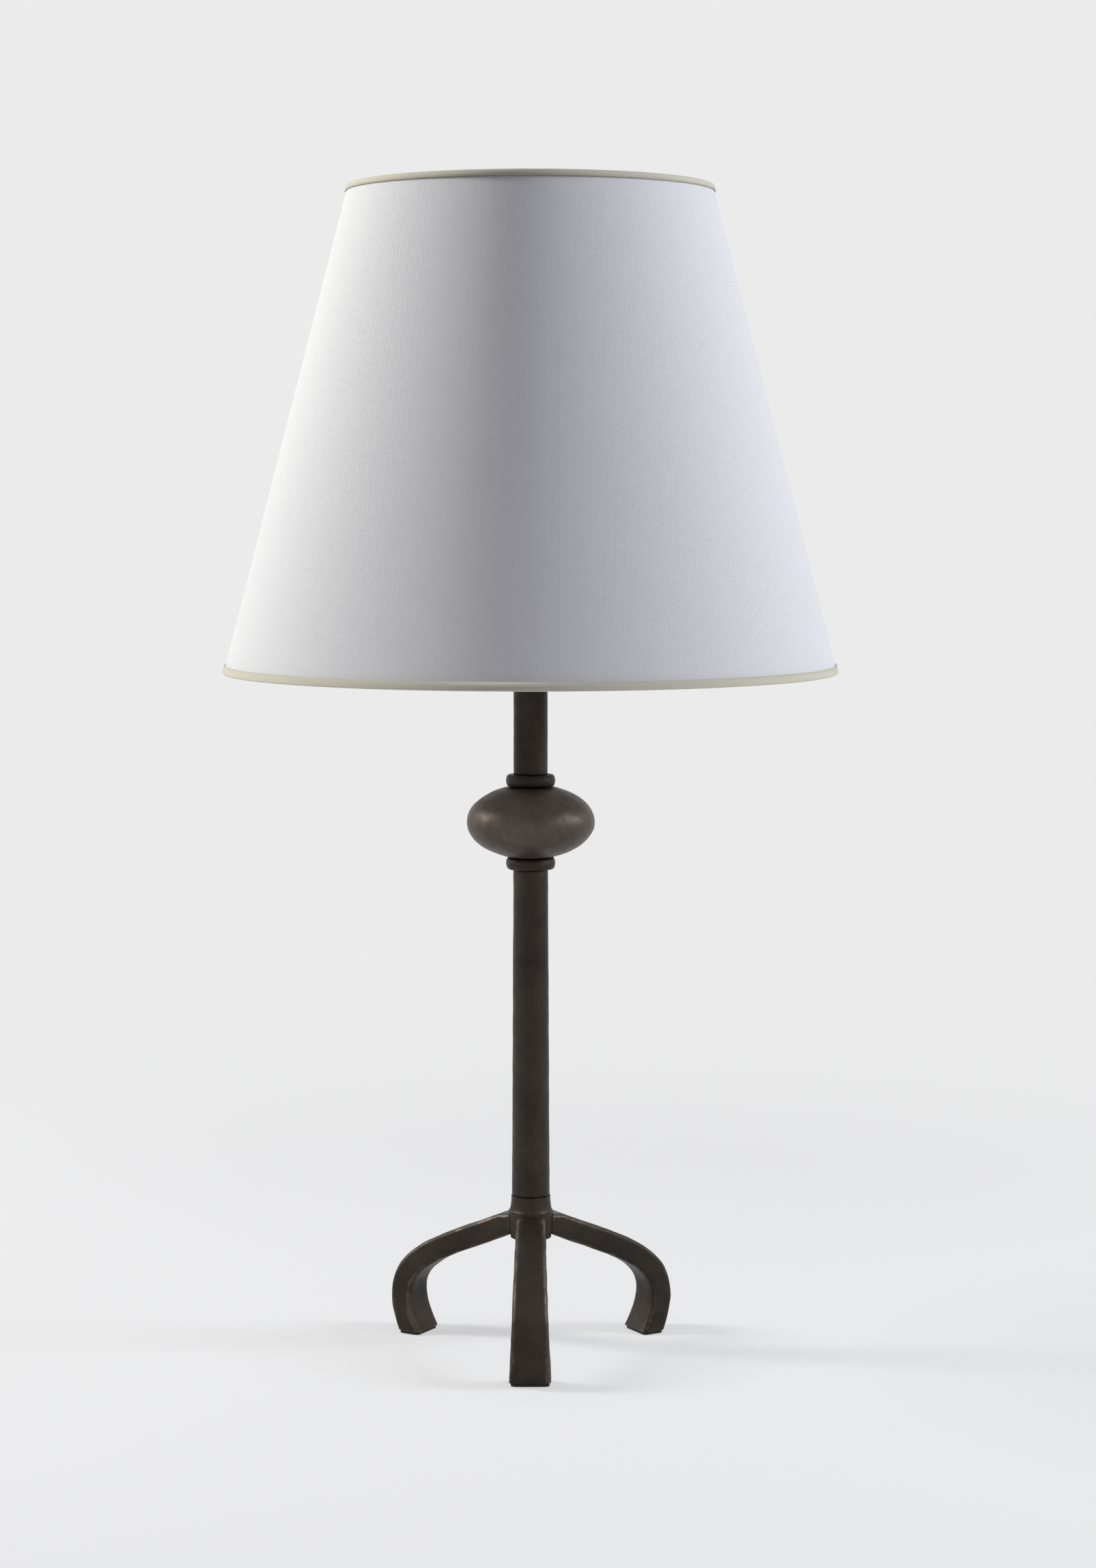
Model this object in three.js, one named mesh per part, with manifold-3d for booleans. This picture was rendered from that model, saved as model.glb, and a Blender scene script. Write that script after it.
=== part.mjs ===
// Table lamp: an iron tripod and stem with a flattened knop, and a tapered hardback shade on a harp.
// Millimetres, +Z up. The floor is z = 0, the stem stands on the Z axis, and the front leg points to -Y.
import * as THREE from "three";
import { mergeVertices } from "three/addons/utils/BufferGeometryUtils.js";
import Module from "manifold-3d";

const wasm = await Module();
wasm.setup();

// Clearances
const seatGap = 0.3; // between two pieces that touch
const slideGap = 0.35; // around a piece that slides or turns in another
const cutMargin = 2; // how far a cutting shape runs past what it cuts

// Legs: flat bars on a cubic curve from the stem's axis, over the knee and down to the foot
const rootHeight = 81;
const shoulderReach = 48;
const shoulderHeight = 54;
const kneeReach = 105.5;
const kneeHeight = 52;
const footReach = 77.5;
const legThickness = 14;
const legRootWidth = 17.5;
const legFootWidth = 24.5;
const legChamfer = 1.6;
const padThickness = 1.6;
const padInset = 1.2;
const padCorner = 2.5;
const tenonDepth = 5.5;
const tenonWidth = 9;
const tenonHeight = 8;

// Hub, with what clamps the legs under it
const hubRadius = 13;
const hubWaist = 11.6;
const hubHeight = 22;
const hubCove = 9;
const clampRadius = 12;
const clampThickness = 3;
const washerRadius = 9;
const washerThickness = 1.5;
const nutAcrossFlats = 16;
const nutHeight = 6;
const rodBelowNut = 3;

// Threaded rod through the whole stem, and the bush where the lead enters it
const rodRadius = 5;
const rodWall = 1;
const bushWall = 0.7;
const bushSleeve = 8;
const bushFlangeRadius = 5.5;
const bushFlangeThickness = 2.5;

// Stem, knop and neck
const stemBottomRadius = 11.2;
const stemTopRadius = 10.2;
const stemLength = 192;
const collarRadius = 14.4;
const collarHeight = 7;
const knopRadius = 37.5;
const knopHalfHeight = 22;
const neckRadius = 10;
const neckLength = 70;
const neckCapRadius = 13;
const neckCapHeight = 4;

// Harp saddle
const saddleHalfWidth = 34;
const saddleDepth = 12;
const saddleThickness = 2;
const saddleEarHeight = 9;
const saddlePinHeight = 10;

// Harp, its ferrules and its stud
const wireRadius = 2.25;
const harpRise = 218;
const harpStraight = 34;
const harpBulge = 58;
const harpBulgeHeight = 118;
const harpTopFlat = 10;
const ferruleLength = 18;
const ferruleWall = 1.1;
const bossHalf = 5;
const bossHeight = 10;
const studRadius = 3.1;
const studLength = 12;

// Lampholder
const holderCapNeckRadius = 8;
const holderCapNeckHeight = 9;
const holderRadius = 17.2;
const holderCapHeight = 24;
const sheetWall = 0.6;
const holderShellLength = 46;
const holderShellOverlap = 5;
const linerWall = 0.6;
const bodyHeight = 23;
const bodyFootHeight = 5;
const bodyFootRadius = 8.6;
const terminalHeadRadius = 2.4;
const terminalHeadHeight = 0.6;
const terminalShank = 4;
const terminalShankRadius = 1.2;
const setScrewRadius = 1.6;
const setScrewLength = 5;
const shaftRadius = 1.6;
const shaftAboveCap = 4.5;
const knobRadius = 6.5;
const knobLength = 12;
const knobFluteDepth = 0.5;
const knobFlutes = 9;
const knobStandOff = 7;
const screwShellHeight = 24;
const contactRadius = 3.6;
const contactHeight = 2.6;

// Bulb
const capRadius = 13;
const threadDepth = 0.7;
const threadPitch = 3.6;
const threadTurns = 5;
const bulbCapWall = 0.6;
const bulbCapHeight = 22;
const tipRadius = 4.6;
const tipHeight = 1.6;
const insulatorHeight = 3.2;
const globeRadius = 27.5;
const globeHeight = 76;
const globeShoulderRadius = 18;
const globeShoulderDrop = 21.5;
const globeNeckLength = 5;
const glassWall = 0.8;
const stemGlassRadius = 3;
const stemGlassHeight = 34;

// Shade
const shadeTopRadius = 104;
const shadeBottomRadius = 177;
const shadeHeight = 278;
const spiderDrop = 20;
const coverThickness = 0.5;
const backingThickness = 0.6;
const ringWire = 1.5;
const trimWall = 0.7;
const topTrimHeight = 4;
const bottomTrimHeight = 5.2;
const spiderWasherRadius = 11;
const spiderWasherThickness = 1.6;
const armBend = 8;

// Finial
const finialRadius = 6.5;
const finialHeight = 15.5;
const finialSkirt = 3;
const finialBallRadius = 5.2;

// Facets: sides of what is round, and steps along what is curved
const roundSides = 28;
const smallSides = 20;
const tinySides = 12;
const shadeSides = 48;
const wireSides = 6;
const cornerSteps = 4;
const knopSteps = 12;
const globeSteps = 6;
const legSteps = 18;
const harpSteps = 72;
const armSteps = 18;
const fluteSteps = 6;
const mergeDistance = 1e-4;

const clearBore = rodRadius + seatGap;

const finishes = {
  iron: { color: 0x241f1c, roughness: 0.55, metalness: 0.85 },
  rubber: { color: 0x151515, roughness: 0.9, metalness: 0 },
  brass: { color: 0xa9854a, roughness: 0.35, metalness: 1 },
  steel: { color: 0x9a9a98, roughness: 0.4, metalness: 1 },
  plastic: { color: 0x1a1a1a, roughness: 0.5, metalness: 0 },
  card: { color: 0xb59a6c, roughness: 0.9, metalness: 0 },
  contact: { color: 0xc8ccd0, roughness: 0.4, metalness: 1 },
  opal: { color: 0xf4f1ea, roughness: 0.3, metalness: 0 },
  linen: { color: 0xe6e4e0, roughness: 0.95, metalness: 0 },
  styrene: { color: 0xf2f0ec, roughness: 0.6, metalness: 0 },
  whiteWire: { color: 0xd8d6d2, roughness: 0.5, metalness: 0.3 },
};
const materials = Object.fromEntries(
  Object.entries(finishes).map(([name, look]) => [name, new THREE.MeshStandardMaterial(look)]),
);

// Shape makers

// A solid or ring turned about Z from an outline of [radius, height] corners.
// A ring's outline closes on itself; any other starts and ends on the axis.
function turned(outline, sides = roundSides) {
  const points = outline.map(([r, z]) => new THREE.Vector2(r, z));
  if (outline[0][0] > 0) points.push(points[0].clone());
  if (THREE.ShapeUtils.isClockWise(points)) points.reverse();
  return new THREE.LatheGeometry(points, sides).rotateX(Math.PI / 2);
}

// A plain ring from z = 0 up.
function ring(inner, outer, height, sides = roundSides) {
  return turned([[inner, 0], [outer, 0], [outer, height], [inner, height]], sides);
}

// A rod from z = 0 up.
function rod(radius, height, sides = smallSides) {
  return new THREE.CylinderGeometry(radius, radius, height, sides)
    .rotateX(Math.PI / 2)
    .translate(0, 0, height / 2);
}

// A flat shape raised from z = 0.
function plate(shape, height) {
  const options = { depth: height, bevelEnabled: false, curveSegments: cornerSteps };
  return new THREE.ExtrudeGeometry(shape, options);
}

// A round wire along a curve.
function wire(radius, path, steps) {
  const section = new THREE.Shape().absarc(0, 0, radius, 0, 2 * Math.PI);
  return new THREE.ExtrudeGeometry(section, {
    steps,
    extrudePath: path,
    curveSegments: wireSides / 2,
    bevelEnabled: false,
  });
}

function roundedRectangle(width, height, corner) {
  const x = width / 2 - corner;
  const y = height / 2 - corner;
  const quarter = Math.PI / 2;
  return new THREE.Shape()
    .absarc(x, y, corner, 0, quarter)
    .absarc(-x, y, corner, quarter, 2 * quarter)
    .absarc(-x, -y, corner, 2 * quarter, 3 * quarter)
    .absarc(x, -y, corner, 3 * quarter, 4 * quarter);
}

// Corners of an elliptic arc, angles in degrees.
function arc(centreR, centreZ, radiusR, radiusZ, from, to, steps) {
  return Array.from({ length: steps + 1 }, (_, i) => {
    const angle = THREE.MathUtils.degToRad(from + ((to - from) * i) / steps);
    return [centreR + radiusR * Math.cos(angle), centreZ + radiusZ * Math.sin(angle)];
  });
}

// Booleans
function toSolid(geometry) {
  const bare = geometry.clone();
  bare.deleteAttribute("normal");
  bare.deleteAttribute("uv");
  const merged = mergeVertices(bare, mergeDistance);
  return new wasm.Manifold(
    new wasm.Mesh({
      numProp: 3,
      vertProperties: merged.attributes.position.array,
      triVerts: new Uint32Array(merged.index.array),
    }),
  );
}

function toGeometry(solid) {
  const mesh = solid.getMesh();
  const geometry = new THREE.BufferGeometry()
    .setAttribute("position", new THREE.BufferAttribute(mesh.vertProperties, 3))
    .setIndex(new THREE.BufferAttribute(mesh.triVerts, 1))
    .toNonIndexed();
  geometry.computeVertexNormals();
  return geometry;
}

function joined(first, ...others) {
  return toGeometry(others.reduce((sum, other) => sum.add(toSolid(other)), toSolid(first)));
}

function cut(body, ...tools) {
  return toGeometry(tools.reduce((rest, tool) => rest.subtract(toSolid(tool)), toSolid(body)));
}

// Legs

// Height of a leg's centreline where it meets the hub, and its reach at the floor end: both lie on the
// straight run of the curve towards its first and last control points.
const rootAtHub = rootHeight + ((shoulderHeight - rootHeight) * hubRadius) / shoulderReach;
const legBottom = padThickness + seatGap;
const footCentre = footReach + ((kneeReach - footReach) * legBottom) / kneeHeight;
const footLean = Math.atan2(kneeReach - footReach, kneeHeight);

// The bar's outline in the upright plane through its own centreline.
function legOutline() {
  const centreline = new THREE.CubicBezierCurve(
    new THREE.Vector2(0, rootHeight),
    new THREE.Vector2(shoulderReach, shoulderHeight),
    new THREE.Vector2(kneeReach, kneeHeight),
    new THREE.Vector2(footReach, 0),
  );
  const upper = [];
  const lower = [];
  for (let i = 0; i <= legSteps; i++) {
    const point = centreline.getPointAt(i / legSteps);
    const along = centreline.getTangentAt(i / legSteps);
    const across = new THREE.Vector2(-along.y, along.x).multiplyScalar(legThickness / 2);
    upper.push(point.clone().add(across));
    lower.push(point.clone().sub(across));
  }
  const past = centreline.getTangentAt(1).multiplyScalar(legThickness);
  upper.push(upper[legSteps].clone().add(past));
  lower.push(lower[legSteps].clone().add(past));
  return new THREE.Shape([...upper, ...lower.reverse()]);
}

function leg() {
  const depth = legRootWidth - 2 * legChamfer;
  const bar = new THREE.ExtrudeGeometry(legOutline(), {
    depth,
    bevelEnabled: true,
    bevelSegments: 1,
    bevelThickness: legChamfer,
    bevelSize: legChamfer,
    bevelOffset: -legChamfer,
  })
    .translate(0, 0, -depth / 2)
    .rotateX(Math.PI / 2);
  // The bar widens evenly from its root to the floor.
  const corners = bar.attributes.position;
  for (let i = 0; i < corners.count; i++) {
    const down = THREE.MathUtils.clamp(1 - corners.getZ(i) / rootAtHub, 0, 1);
    const widening = ((legFootWidth - legRootWidth) / 2) * down;
    corners.setY(i, corners.getY(i) + Math.sign(corners.getY(i)) * widening);
  }
  const hubSpace = rod(hubRadius + seatGap, 2 * rootHeight, roundSides);
  const floorDepth = 4 * legThickness;
  const floorSpace = new THREE.BoxGeometry(2 * kneeReach, 2 * legFootWidth, floorDepth);
  floorSpace.translate(0, 0, legBottom - floorDepth / 2);
  const tenonLength = tenonDepth + seatGap + cutMargin;
  const tenon = new THREE.BoxGeometry(tenonLength, tenonWidth, tenonHeight).translate(
    hubRadius - tenonDepth + tenonLength / 2,
    0,
    rootAtHub,
  );
  return joined(cut(bar, hubSpace, floorSpace), tenon);
}

function footPad() {
  const acrossFoot = legThickness / Math.cos(footLean);
  const shape = roundedRectangle(acrossFoot - 2 * padInset, legFootWidth - 2 * padInset, padCorner);
  return plate(shape, padThickness);
}

// Hub and clamp

function hub() {
  const straight = hubHeight - hubCove;
  const cove = arc(hubRadius, hubHeight, hubRadius - hubWaist, hubCove, 270, 180, cornerSteps);
  const body = turned([
    [clearBore, 0],
    [hubRadius, 0],
    [hubRadius, straight],
    ...cove.slice(1),
    [clearBore, hubHeight],
  ]);
  const slotDepth = tenonDepth + seatGap + cutMargin;
  const slots = legAngles.map((angle) =>
    new THREE.BoxGeometry(slotDepth, tenonWidth + 2 * seatGap, 2 * (tenonHeight + seatGap))
      .translate(hubRadius - tenonDepth - seatGap + slotDepth / 2, 0, 0)
      .rotateZ(angle),
  );
  return cut(body, ...slots);
}

function hexNut() {
  const corner = nutAcrossFlats / Math.sqrt(3);
  const shape = new THREE.Shape(
    Array.from({ length: 6 }, (_, i) => {
      const angle = (i * Math.PI) / 3;
      return new THREE.Vector2(corner * Math.cos(angle), corner * Math.sin(angle));
    }),
  );
  const bore = rod(clearBore, nutHeight + 2 * cutMargin).translate(0, 0, -cutMargin);
  return cut(plate(shape, nutHeight), bore);
}

// The bush's flange lies under the rod's end, and its sleeve stands up inside the rod.
function cordBush() {
  const outer = rodRadius - rodWall - seatGap;
  const bore = outer - bushWall;
  return turned(
    [
      [bore, -bushFlangeThickness],
      [bushFlangeRadius, -bushFlangeThickness],
      [bushFlangeRadius, 0],
      [outer, 0],
      [outer, bushSleeve],
      [bore, bushSleeve],
    ],
    smallSides,
  );
}

// Stem

function stem() {
  return turned([
    [clearBore, 0],
    [stemBottomRadius, 0],
    [stemTopRadius, stemLength],
    [clearBore, stemLength],
  ]);
}

function collar() {
  const bulge = collarHeight / 2;
  return turned([
    [clearBore, 0],
    ...arc(collarRadius - bulge / 2, bulge, bulge / 2, bulge, -90, 90, cornerSteps),
    [clearBore, collarHeight],
  ]);
}

// Half the height of the knop's flat seats for the collars.
const knopSeat = knopHalfHeight * Math.sqrt(1 - (collarRadius / knopRadius) ** 2);

function knop() {
  const edge = THREE.MathUtils.radToDeg(Math.asin(knopSeat / knopHalfHeight));
  return turned([
    [clearBore, -knopSeat],
    ...arc(0, 0, knopRadius, knopHalfHeight, -edge, edge, knopSteps),
    [clearBore, knopSeat],
  ]);
}

// Saddle: a strip across the stem with turned-up ends, each with a pin for a foot of the harp

function saddle() {
  const outer = saddleHalfWidth + saddleThickness / 2;
  const inner = outer - saddleThickness;
  const strip = new THREE.Shape([
    new THREE.Vector2(-outer, 0),
    new THREE.Vector2(outer, 0),
    new THREE.Vector2(outer, saddleEarHeight),
    new THREE.Vector2(inner, saddleEarHeight),
    new THREE.Vector2(inner, saddleThickness),
    new THREE.Vector2(-inner, saddleThickness),
    new THREE.Vector2(-inner, saddleEarHeight),
    new THREE.Vector2(-outer, saddleEarHeight),
  ]);
  const bracket = plate(strip, saddleDepth).translate(0, 0, -saddleDepth / 2).rotateX(Math.PI / 2);
  const pins = [-1, 1].map((side) =>
    rod(wireRadius, saddlePinHeight + saddleThickness, smallSides).translate(
      side * saddleHalfWidth,
      0,
      saddleEarHeight - saddleThickness,
    ),
  );
  const bore = rod(clearBore, saddleThickness + 2 * cutMargin, smallSides).translate(0, 0, -cutMargin);
  return cut(joined(bracket, ...pins), bore);
}

// Harp: its feet stand on the saddle's pins at z = 0, and its flat top is at harpRise

function harpPath() {
  const point = (x, z) => new THREE.Vector3(x, 0, z);
  const roundness = 0.5523; // a cubic curve with this handle is a quarter of an ellipse
  const middle = (harpStraight + harpBulgeHeight) / 2;
  const top = harpRise - harpBulgeHeight;
  // One side from its foot to the flat top, as the points of a line and two cubic curves.
  const side = (sign) => [
    [point(sign * saddleHalfWidth, 0), point(sign * saddleHalfWidth, harpStraight)],
    [
      point(sign * saddleHalfWidth, harpStraight),
      point(sign * saddleHalfWidth, middle),
      point(sign * harpBulge, middle),
      point(sign * harpBulge, harpBulgeHeight),
    ],
    [
      point(sign * harpBulge, harpBulgeHeight),
      point(sign * harpBulge, harpBulgeHeight + roundness * top),
      point(sign * (harpTopFlat + roundness * (harpBulge - harpTopFlat)), harpRise),
      point(sign * harpTopFlat, harpRise),
    ],
  ];
  const flat = [point(harpTopFlat, harpRise), point(-harpTopFlat, harpRise)];
  const down = side(-1)
    .reverse()
    .map((points) => points.reverse());
  const path = new THREE.CurvePath();
  [...side(1), flat, ...down].forEach((points) => {
    path.add(points.length === 2 ? new THREE.LineCurve3(...points) : new THREE.CubicBezierCurve3(...points));
  });
  return path;
}

function harp() {
  return wire(wireRadius, harpPath(), harpSteps);
}

// A block that the harp's flat top runs through, with the stud on it.
function harpStud() {
  const block = new THREE.BoxGeometry(2 * bossHalf, 2 * bossHalf, bossHeight);
  const stud = rod(studRadius, studLength + cutMargin, smallSides);
  stud.translate(0, 0, bossHeight / 2 - cutMargin);
  const wireHole = rod(wireRadius + seatGap, 2 * (bossHalf + cutMargin), smallSides)
    .translate(0, 0, -bossHalf - cutMargin)
    .rotateY(Math.PI / 2);
  return cut(joined(block, stud), wireHole);
}

// Lampholder, all from z = 0 at the foot of its cap

const holderCapInner = holderRadius - sheetWall;
const holderShellOuter = holderCapInner - seatGap;
const holderShellInner = holderShellOuter - sheetWall;
const linerOuter = holderShellInner - seatGap;
const linerInner = linerOuter - linerWall;
// The terminal heads' corners clear the liner.
const headReach = Math.sqrt((linerInner - seatGap) ** 2 - terminalHeadRadius ** 2);
const bodyRadius = headReach - terminalHeadHeight - seatGap / 2;
const bodyBottom = holderCapNeckHeight + sheetWall + seatGap;
const bodyTop = bodyBottom + bodyHeight;
const rimBottom = holderCapHeight - holderShellOverlap;
const shellBottom = rimBottom + seatGap;
const switchLevel = holderCapHeight + shaftAboveCap;
const screwShellInner = capRadius + slideGap;

function holderCap() {
  const floor = holderCapNeckHeight;
  const rise = rimBottom - floor;
  const flat = bodyFootRadius + seatGap;
  return turned([
    [clearBore, 0],
    [holderCapNeckRadius, 0],
    [holderCapNeckRadius, floor],
    ...arc(flat, rimBottom, holderRadius - flat, rise, -90, 0, cornerSteps),
    [holderRadius, holderCapHeight],
    [holderCapInner, holderCapHeight],
    ...arc(flat, rimBottom, holderCapInner - flat, rise - sheetWall, 0, -90, cornerSteps),
    [clearBore, floor + sheetWall],
  ]);
}

// A cutter for the switch shaft's hole, from the lampholder's axis out to -Y.
function shaftHole() {
  const radius = shaftRadius + slideGap;
  return rod(radius, holderRadius + cutMargin).rotateX(Math.PI / 2).translate(0, 0, switchLevel);
}

function holderShell() {
  const top = shellBottom + holderShellLength;
  const bead = sheetWall;
  const tube = turned([
    [holderShellInner, shellBottom],
    [holderShellOuter, shellBottom],
    [holderShellOuter, top - 3 * bead],
    [holderShellOuter + bead, top - 2 * bead],
    [holderShellOuter + bead, top - bead],
    [holderShellOuter, top],
    [holderShellInner, top],
  ]);
  return cut(tube, shaftHole());
}

function liner() {
  const length = holderShellLength - holderShellOverlap;
  return cut(
    ring(linerInner, linerOuter, length).translate(0, 0, shellBottom),
    shaftHole(),
  );
}

function holderBody() {
  const block = turned([
    [0, bodyBottom],
    [bodyFootRadius, bodyBottom],
    [bodyFootRadius, bodyBottom + bodyFootHeight],
    [bodyRadius, bodyBottom + bodyFootHeight + (bodyRadius - bodyFootRadius) / 2],
    [bodyRadius, bodyTop],
    [0, bodyTop],
  ]);
  const terminalHoles = [-1, 1].map((side) =>
    rod(terminalShankRadius + seatGap, terminalShank + cutMargin, smallSides)
      .rotateY((side * Math.PI) / 2)
      .translate(side * (bodyRadius - terminalShank - seatGap), 0, switchLevel),
  );
  const cordHole = rod(rodRadius - rodWall, cutMargin + bodyFootHeight);
  cordHole.translate(0, 0, bodyBottom - cutMargin);
  return cut(block, shaftHole(), cordHole, ...terminalHoles);
}

// A screw that lies along +X, with its head outwards and its shank's end at x = 0.
function terminalScrew() {
  return turned(
    [
      [0, 0],
      [terminalShankRadius, 0],
      [terminalShankRadius, terminalShank + seatGap / 2],
      [terminalHeadRadius, terminalShank + seatGap / 2],
      [terminalHeadRadius, terminalShank + seatGap / 2 + terminalHeadHeight],
      [0, terminalShank + seatGap / 2 + terminalHeadHeight],
    ],
    tinySides,
  ).rotateY(Math.PI / 2);
}

// Rounded thread ridges up a sleeve, as [radius, height] corners from the bottom to the top.
function threadProfile(radius, bottom) {
  const corners = [];
  for (let turn = 0; turn < threadTurns; turn++) {
    const start = bottom + turn * threadPitch;
    corners.push([radius - threadDepth, start], [radius, start + threadPitch / 2]);
  }
  corners.push([radius - threadDepth, bottom + threadTurns * threadPitch]);
  return corners;
}

function screwShell() {
  const outer = screwShellInner + sheetWall;
  const hole = contactRadius + seatGap;
  return turned(
    [
      [hole, 0],
      [outer, 0],
      [outer, screwShellHeight],
      [screwShellInner, screwShellHeight],
      [screwShellInner, sheetWall],
      [hole, sheetWall],
    ],
    smallSides,
  );
}

function centreContact() {
  return turned(
    [
      [0, 0],
      [contactRadius, 0],
      [contactRadius, sheetWall],
      ...arc(0, sheetWall, contactRadius / 2, contactHeight - sheetWall, 0, 90, cornerSteps),
    ],
    tinySides,
  );
}

function switchKnob() {
  const count = knobFlutes * fluteSteps;
  const outline = Array.from({ length: count }, (_, i) => {
    const angle = (2 * Math.PI * i) / count;
    const radius = knobRadius - (knobFluteDepth / 2) * (1 - Math.cos(knobFlutes * angle));
    return new THREE.Vector2(radius * Math.cos(angle), radius * Math.sin(angle));
  });
  const body = plate(new THREE.Shape(outline), knobLength);
  const socket = rod(shaftRadius + seatGap, knobLength / 2 + seatGap);
  return cut(body, socket).rotateX(Math.PI / 2);
}

const knobStart = holderRadius + knobStandOff;

function switchShaft() {
  const length = knobStart + knobLength / 2 - seatGap;
  return rod(shaftRadius, length, tinySides).rotateX(Math.PI / 2).translate(0, -seatGap, 0);
}

// Bulb, from z = 0 at its contact tip

const insulatorBottom = tipHeight + seatGap;
const bulbCapBottom = insulatorBottom + insulatorHeight + seatGap;
const bulbCapTop = bulbCapBottom + bulbCapHeight;
const bulbCapInner = capRadius - threadDepth - bulbCapWall;
const globeNeckRadius = bulbCapInner - seatGap;
const globeBottom = bulbCapTop - globeNeckLength;
const globeTop = bulbCapTop + globeHeight;

function bulbTip() {
  const dome = arc(0, tipHeight, tipRadius, tipHeight, -90, 0, cornerSteps);
  return turned([...dome, [0, tipHeight]], tinySides);
}

function bulbInsulator() {
  const top = insulatorBottom + insulatorHeight;
  return turned(
    [
      [0, insulatorBottom],
      [tipRadius + threadDepth, insulatorBottom],
      [bulbCapInner, top],
      [0, top],
    ],
    smallSides,
  );
}

function bulbCap() {
  const threadBottom = bulbCapBottom + bulbCapWall;
  const lip = tipRadius + threadDepth;
  return turned(
    [
      [lip, bulbCapBottom],
      [capRadius - threadDepth, bulbCapBottom],
      ...threadProfile(capRadius, threadBottom),
      [capRadius - threadDepth, bulbCapTop],
      [bulbCapInner, bulbCapTop],
      [bulbCapInner, bulbCapBottom + bulbCapWall],
      [lip, bulbCapBottom + bulbCapWall],
    ],
    smallSides,
  );
}

function globeOutline(inset) {
  const ball = globeRadius - inset;
  const neck = globeNeckRadius - inset;
  const centre = globeTop - globeRadius;
  return [
    ...arc(0, centre, ball, ball, 90, -15, globeSteps),
    [globeShoulderRadius - inset, centre - globeShoulderDrop],
    [neck, bulbCapTop + seatGap],
    [neck, globeBottom],
  ];
}

function bulbGlobe() {
  return turned([...globeOutline(0), ...globeOutline(glassWall).reverse()], smallSides);
}

function bulbStem() {
  const foot = globeNeckRadius - glassWall - seatGap;
  return turned(
    [
      [0, globeBottom],
      [foot, globeBottom],
      [foot, globeBottom + stemGlassRadius],
      [stemGlassRadius, globeBottom + 3 * stemGlassRadius],
      [stemGlassRadius, globeBottom + stemGlassHeight],
      [0, globeBottom + stemGlassHeight + stemGlassRadius],
    ],
    tinySides,
  );
}

// Shade, from z = 0 at its top edge, hanging down

const shadeSlope = (shadeBottomRadius - shadeTopRadius) / shadeHeight;

// Radius of the cover's outside at a height under the top edge, moved in or out by an offset.
function shadeRadius(z, offset = 0) {
  return shadeTopRadius - shadeSlope * z + offset;
}

const panelTop = -trimWall - seatGap;
const panelBottom = -shadeHeight + trimWall + seatGap;

// A wall of the cone between two heights and two offsets.
function shadeWall(low, high, outer, inner) {
  return turned(
    [
      [shadeRadius(low, inner), low],
      [shadeRadius(low, outer), low],
      [shadeRadius(high, outer), high],
      [shadeRadius(high, inner), high],
    ],
    shadeSides,
  );
}

const backingOuter = -coverThickness - seatGap;
const backingInner = backingOuter - backingThickness;
const ringOffset = backingInner - seatGap - ringWire;
const trimOuter = seatGap + trimWall;
const trimInner = ringOffset - ringWire - seatGap - trimWall;

// A round wire ring just inside the backing.
function wireRing(z) {
  const radius = shadeRadius(z, ringOffset);
  return turned(arc(radius, z, ringWire, ringWire, 0, 360 - 360 / wireSides, wireSides - 1), shadeSides);
}

// A folded tape over the shade's edge, open towards the shade's middle.
function edgeTrim(edge, height, inwards) {
  const end = edge + inwards * height;
  const fold = edge + inwards * trimWall;
  return turned(
    [
      [shadeRadius(edge, trimInner), edge],
      [shadeRadius(edge, trimOuter), edge],
      [shadeRadius(end, trimOuter), end],
      [shadeRadius(end, seatGap), end],
      [shadeRadius(fold, seatGap), fold],
      [shadeRadius(fold, trimInner + trimWall), fold],
      [shadeRadius(end, trimInner + trimWall), end],
      [shadeRadius(end, trimInner), end],
    ],
    shadeSides,
  );
}

const topRingLevel = panelTop - ringWire;
const bottomRingLevel = panelBottom + ringWire;

// The top ring, with three arms that drop and run in to the washer under the finial. The arms are welded
// to the washer's edge with their tops flush with it, so that the finial's foot turns on the washer alone.
function spider() {
  const ringRadius = shadeRadius(topRingLevel, ringOffset);
  const level = -spiderDrop + spiderWasherThickness - ringWire;
  const point = (x, z) => new THREE.Vector3(x, 0, z);
  const arms = spiderAngles.map((angle) => {
    const path = new THREE.CurvePath();
    path.add(new THREE.LineCurve3(point(ringRadius, topRingLevel), point(ringRadius, level + armBend)));
    path.add(
      new THREE.QuadraticBezierCurve3(
        point(ringRadius, level + armBend),
        point(ringRadius, level),
        point(ringRadius - armBend, level),
      ),
    );
    path.add(
      new THREE.LineCurve3(point(ringRadius - armBend, level), point(spiderWasherRadius - cutMargin, level)),
    );
    return wire(ringWire, path, armSteps).rotateZ(angle);
  });
  const washer = ring(studRadius + slideGap, spiderWasherRadius, spiderWasherThickness, smallSides);
  const hole = rod(studRadius + slideGap, 4 * ringWire + spiderWasherThickness, smallSides);
  const body = joined(wireRing(topRingLevel), ...arms, washer.translate(0, 0, -spiderDrop));
  return cut(body, hole.translate(0, 0, -spiderDrop - 2 * ringWire));
}

function finial() {
  const bore = studRadius + slideGap;
  const ball = finialBallRadius;
  return turned(
    [
      [0, studLength - spiderWasherThickness],
      [bore, studLength - spiderWasherThickness],
      [bore, 0],
      [finialRadius, 0],
      [finialRadius, finialSkirt],
      ...arc(0, finialHeight - ball, ball, ball, -40, 90, cornerSteps),
    ],
    smallSides,
  );
}

// Assembly

const legAngles = [-Math.PI / 2, Math.PI / 6, (5 * Math.PI) / 6];
const spiderAngles = legAngles;

const lamp = new THREE.Group();

function add(parent, name, geometry, material, z = 0) {
  const mesh = new THREE.Mesh(geometry, material);
  mesh.name = name;
  mesh.position.z = z;
  parent.add(mesh);
  return mesh;
}

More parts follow.
